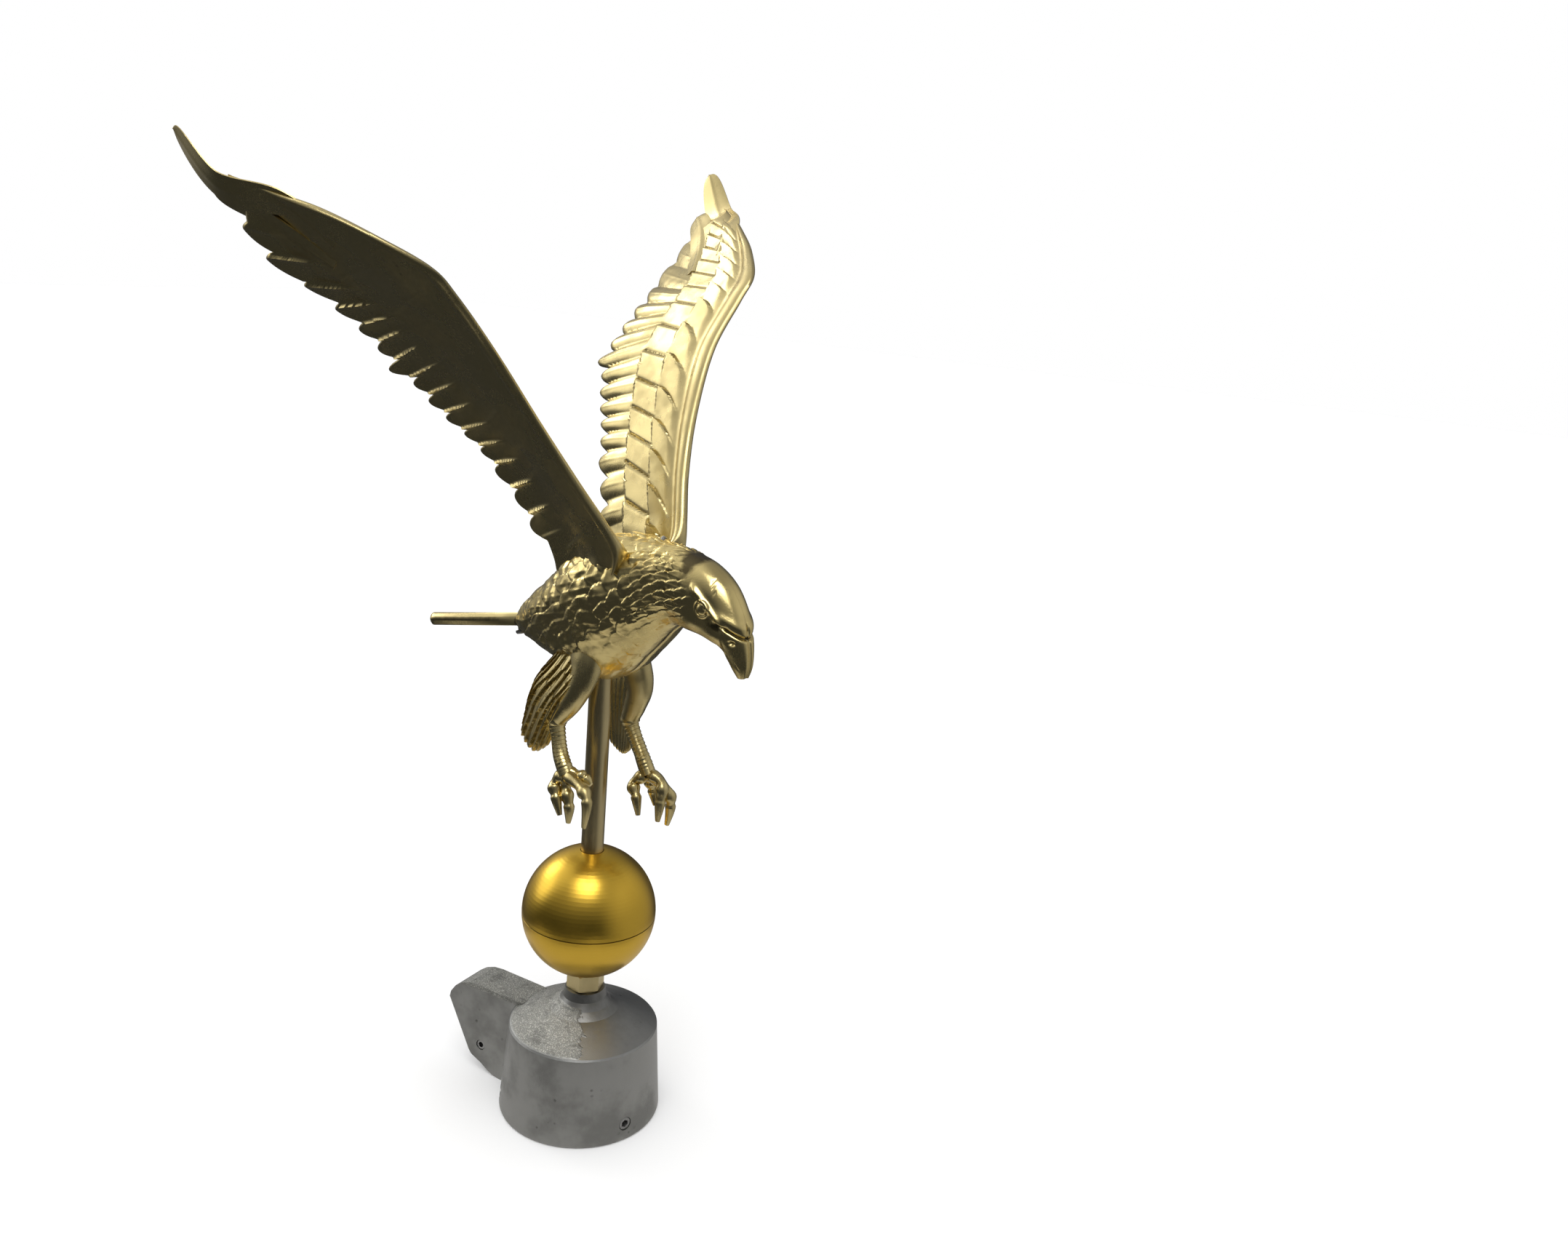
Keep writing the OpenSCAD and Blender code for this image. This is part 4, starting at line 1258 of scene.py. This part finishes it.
LEGS = (
    LegShape(
        "leg_right",
        ((4, -12, 290, 16, 10), (9, -18, 276, 10.5, 8), (8, -22, 264, 7.2, 6.5), (2, -24, 253, 6, 5.5),
         (-5, -25, 244, 5.2, 5), (-3, -25, 235, 4.2, 4.2), (0, -25, 225, 4.4, 4.2),
         (6, -25, 216, 5, 4.6)),
        (((-12, -13, 292), (-19, -16, 277), (-29, -20, 262), (-34, -24, 237)),
         ((-6, -16, 293), (-13, -20, 275), (-24, -25, 256), (-32, -26, 228)),
         ((7, -18, 293), (4, -23, 274), (-7, -28, 252), (-19, -28, 223)),
         ((18, -16, 291), (16, -22, 274), (5, -26, 257), (-8, -27, 230))),
        (((5, -25, 216), (21, -27, 214), (29, -29, 209), (27.5, -29, 194)),
         ((4, -26, 216), (1, -29, 210), (5, -31, 204), (9, -31, 195)),
         ((5, -25, 216), (7, -26, 208), (11.5, -27, 200), (11.5, -27, 190.5)),
         ((6, -24, 217), (12, -22, 217), (17, -20.5, 216), (20.5, -20, 214))),
        Side.RIGHT),
    LegShape(
        "leg_left",
        ((2, 12, 288, 15, 10), (7, 18, 272, 11, 8), (8.5, 21, 259, 8, 7), (4, 22, 247, 6.8, 6),
         (0.5, 22, 236.5, 5.2, 5), (5, 22.5, 228, 4.4, 4.2), (11, 23, 219, 4.4, 4.2),
         (18, 23, 209, 5, 4.6)),
        (((-12, 13, 288), (-19, 17, 272), (-23, 20, 252), (-20, 22, 223)),
         ((-7, 15, 288), (-13, 21, 270), (-17, 24, 248), (-14, 24, 217)),
         ((0, 17, 287), (-4, 24, 268), (-8, 26, 246), (-6, 24, 215)),
         ((9, 17, 284), (6, 22, 266), (3, 24, 250), (0, 23, 219))),
        (((16, 22, 209), (11.5, 18, 203), (16.5, 16, 197), (19, 16, 187)),
         ((19, 23, 210), (28, 24, 207), (30, 22, 197), (30, 21, 186)),
         ((19, 24, 210), (29, 28, 202), (30, 30, 193), (28, 30, 181)),
         ((17, 25, 209), (11, 30, 203), (11, 33, 195), (14, 33, 187))),
        Side.LEFT),
)


def place(piece: bpy.types.Object, node: str, slot: str) -> None:
    """Rides a piece on the truck in place of a node, which it hides.

    Args:
        piece: the finished object.
        node: the node that it stands for.
        slot: not used.
    """
    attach(piece, TRUCK)
    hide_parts(node)
    log.info("%s: %d faces", piece.name, len(piece.data.polygons))


# ---------- stage ----------

class Studio:
    """Floor, soft light and the camera.

    TABLES rows are name, half side, height and grey. LAMPS rows are a direction, the two cosines
    between which the lamp fades in, and its strength.
    """

    CAMERA_PLACE = (0.4132, -0.5954, 0.502)
    CAMERA_HEADING = 117.06
    CAMERA_DIP = 15.5
    CAMERA_ROLL = 5.06
    LENS = 31.73
    TABLES = (("table_near", 0.19, -0.0006, 0.52), ("table_far", 0.25, -0.0012, 0.3))
    BEHIND = (-0.873, 0.118, 0.474)
    LAMPS = ((BEHIND, 0.55, 0.98, 0.3), ((0.144, -0.327, 0.935), 0.955, 0.99, 3.2),
             (BEHIND, 0.975, 0.995, 4.0), ((-0.90, -0.25, 0.36), 0.93, 0.985, 1.0),
             ((0.86, 0.50, 0.05), 0.35, 0.95, 0.3), ((-0.55, -0.1, 0.82), 0.75, 0.99, 0.2))

    def camera(self) -> None:
        """Puts the camera to the front right of the eagle, looking down a little and rolled."""
        data = bpy.data.cameras.new("camera")
        data.lens, data.sensor_width = self.LENS, 36.0
        heading, dip = math.radians(self.CAMERA_HEADING), math.radians(self.CAMERA_DIP)
        roll = math.radians(self.CAMERA_ROLL)
        flat = math.cos(dip)
        ahead = Vector((math.cos(heading) * flat, math.sin(heading) * flat, -math.sin(dip)))
        level = ahead.cross(Vector((0, 0, 1))).normalized()
        above = level.cross(ahead)
        right = level * math.cos(roll) + above * math.sin(roll)
        up = above * math.cos(roll) - level * math.sin(roll)
        turn = Matrix((right, up, -ahead)).transposed()
        eye = bpy.data.objects.new("camera", data)
        eye.matrix_world = Matrix.Translation(self.CAMERA_PLACE) @ turn.to_4x4()
        bpy.context.scene.collection.objects.link(eye)
        bpy.context.scene.camera = eye

    def sheet(self, name: str, half: float, height: float, colour: Triple) -> bpy.types.Object:
        """A level square of matt material, which is part of the stage.

        Args:
            name: its name.
            half: half its side in metres.
            height: its height in metres.
            colour: its colour.

        Returns:
            The linked object.
        """
        mesh = bpy.data.meshes.new(name)
        corners = [(x * half, y * half, height) for x, y in ((-1, -1), (1, -1), (1, 1), (-1, 1))]
        mesh.from_pydata(corners, [], [(0, 1, 2, 3)])
        matt = bpy.data.materials.new(name)
        matt.use_nodes = True
        shader = matt.node_tree.nodes["Principled BSDF"]
        shader.inputs["Base Color"].default_value = (*colour, 1)
        shader.inputs["Roughness"].default_value = 0.9
        mesh.materials.append(matt)
        floor = bpy.data.objects.new(name, mesh)
        bpy.context.scene.collection.objects.link(floor)
        return floor

    def floors(self) -> None:
        """A wide pale floor, and a small one that only reflections see, as metal on a table would."""
        wide = self.sheet("floor", 6.0, 0.0, (0.99, 0.99, 0.99))
        wide.visible_glossy = False
        for name, half, height, grey in self.TABLES:
            table = self.sheet(name, half, height, (grey, grey * 0.98, grey * 0.95))
            table.visible_camera = False
            table.visible_diffuse = False
            table.visible_shadow = False

    def sky(self) -> None:
        """White to the eye; reflections see a dim room, a ceiling glow, a window and a lamp above."""
        world = bpy.data.worlds.new("studio")
        bpy.context.scene.world = world
        world.use_nodes = True
        pipe = Plumbing(world.node_tree)
        back = world.node_tree.nodes["Background"]
        way = pipe.add("ShaderNodeTexCoord").outputs["Generated"]
        tall = pipe.add("ShaderNodeSeparateXYZ", in0=way).outputs["Z"]
        light = pipe.span(tall, -0.1, 0.8, 0.04, 0.27)
        for aim, far, near, strength in self.LAMPS:
            length = math.sqrt(sum(a * a for a in aim))
            dot = pipe.add("ShaderNodeVectorMath", operation="DOT_PRODUCT", in0=way,
                           in1=tuple(a / length for a in aim)).outputs["Value"]
            light = pipe.sum("ADD", light, pipe.span(dot, far, near, 0.0, strength))
        path = pipe.add("ShaderNodeLightPath")
        even = pipe.sum("MAXIMUM", path.outputs["Is Camera Ray"], path.outputs["Is Diffuse Ray"])
        pipe.feed(back.inputs["Strength"], pipe.sum(
            "ADD", pipe.sum("MULTIPLY", light, pipe.sum("SUBTRACT", 1.0, even)), even))
        plain = pipe.sum("MAXIMUM", even, pipe.span(light, 0.03, 0.22, 0.0, 1.0))
        pipe.feed(back.inputs["Color"], pipe.mix(plain, (0.93, 1.0, 1.15, 1), (1, 1, 1, 1)))

    def lamp(self) -> None:
        """One large soft lamp overhead for a faint shadow on the floor."""
        data = bpy.data.lights.new("softbox", "AREA")
        data.energy, data.size = 7.0, 1.2
        lamp = bpy.data.objects.new("softbox", data)
        lamp.location = (0.35, -0.8, 1.9)
        lamp.rotation_euler = (Vector((0, 0, 0.25)) - lamp.location).to_track_quat("-Z", "Y").to_euler()
        bpy.context.scene.collection.objects.link(lamp)

    def build(self) -> None:
        """Sets the whole stage and plain colour handling."""
        self.camera()
        self.floors()
        self.sky()
        self.lamp()
        bpy.context.scene.view_settings.view_transform = "Standard"


def main() -> None:
    logging.basicConfig(level=logging.INFO, format="%(message)s")
    Studio().build()
    HardParts().dress()
    Body().build()
    Wing().build()
    Tail().build()
    for shape in LEGS:
        Leg(shape).build()


if __name__ == "__main__":
    main()
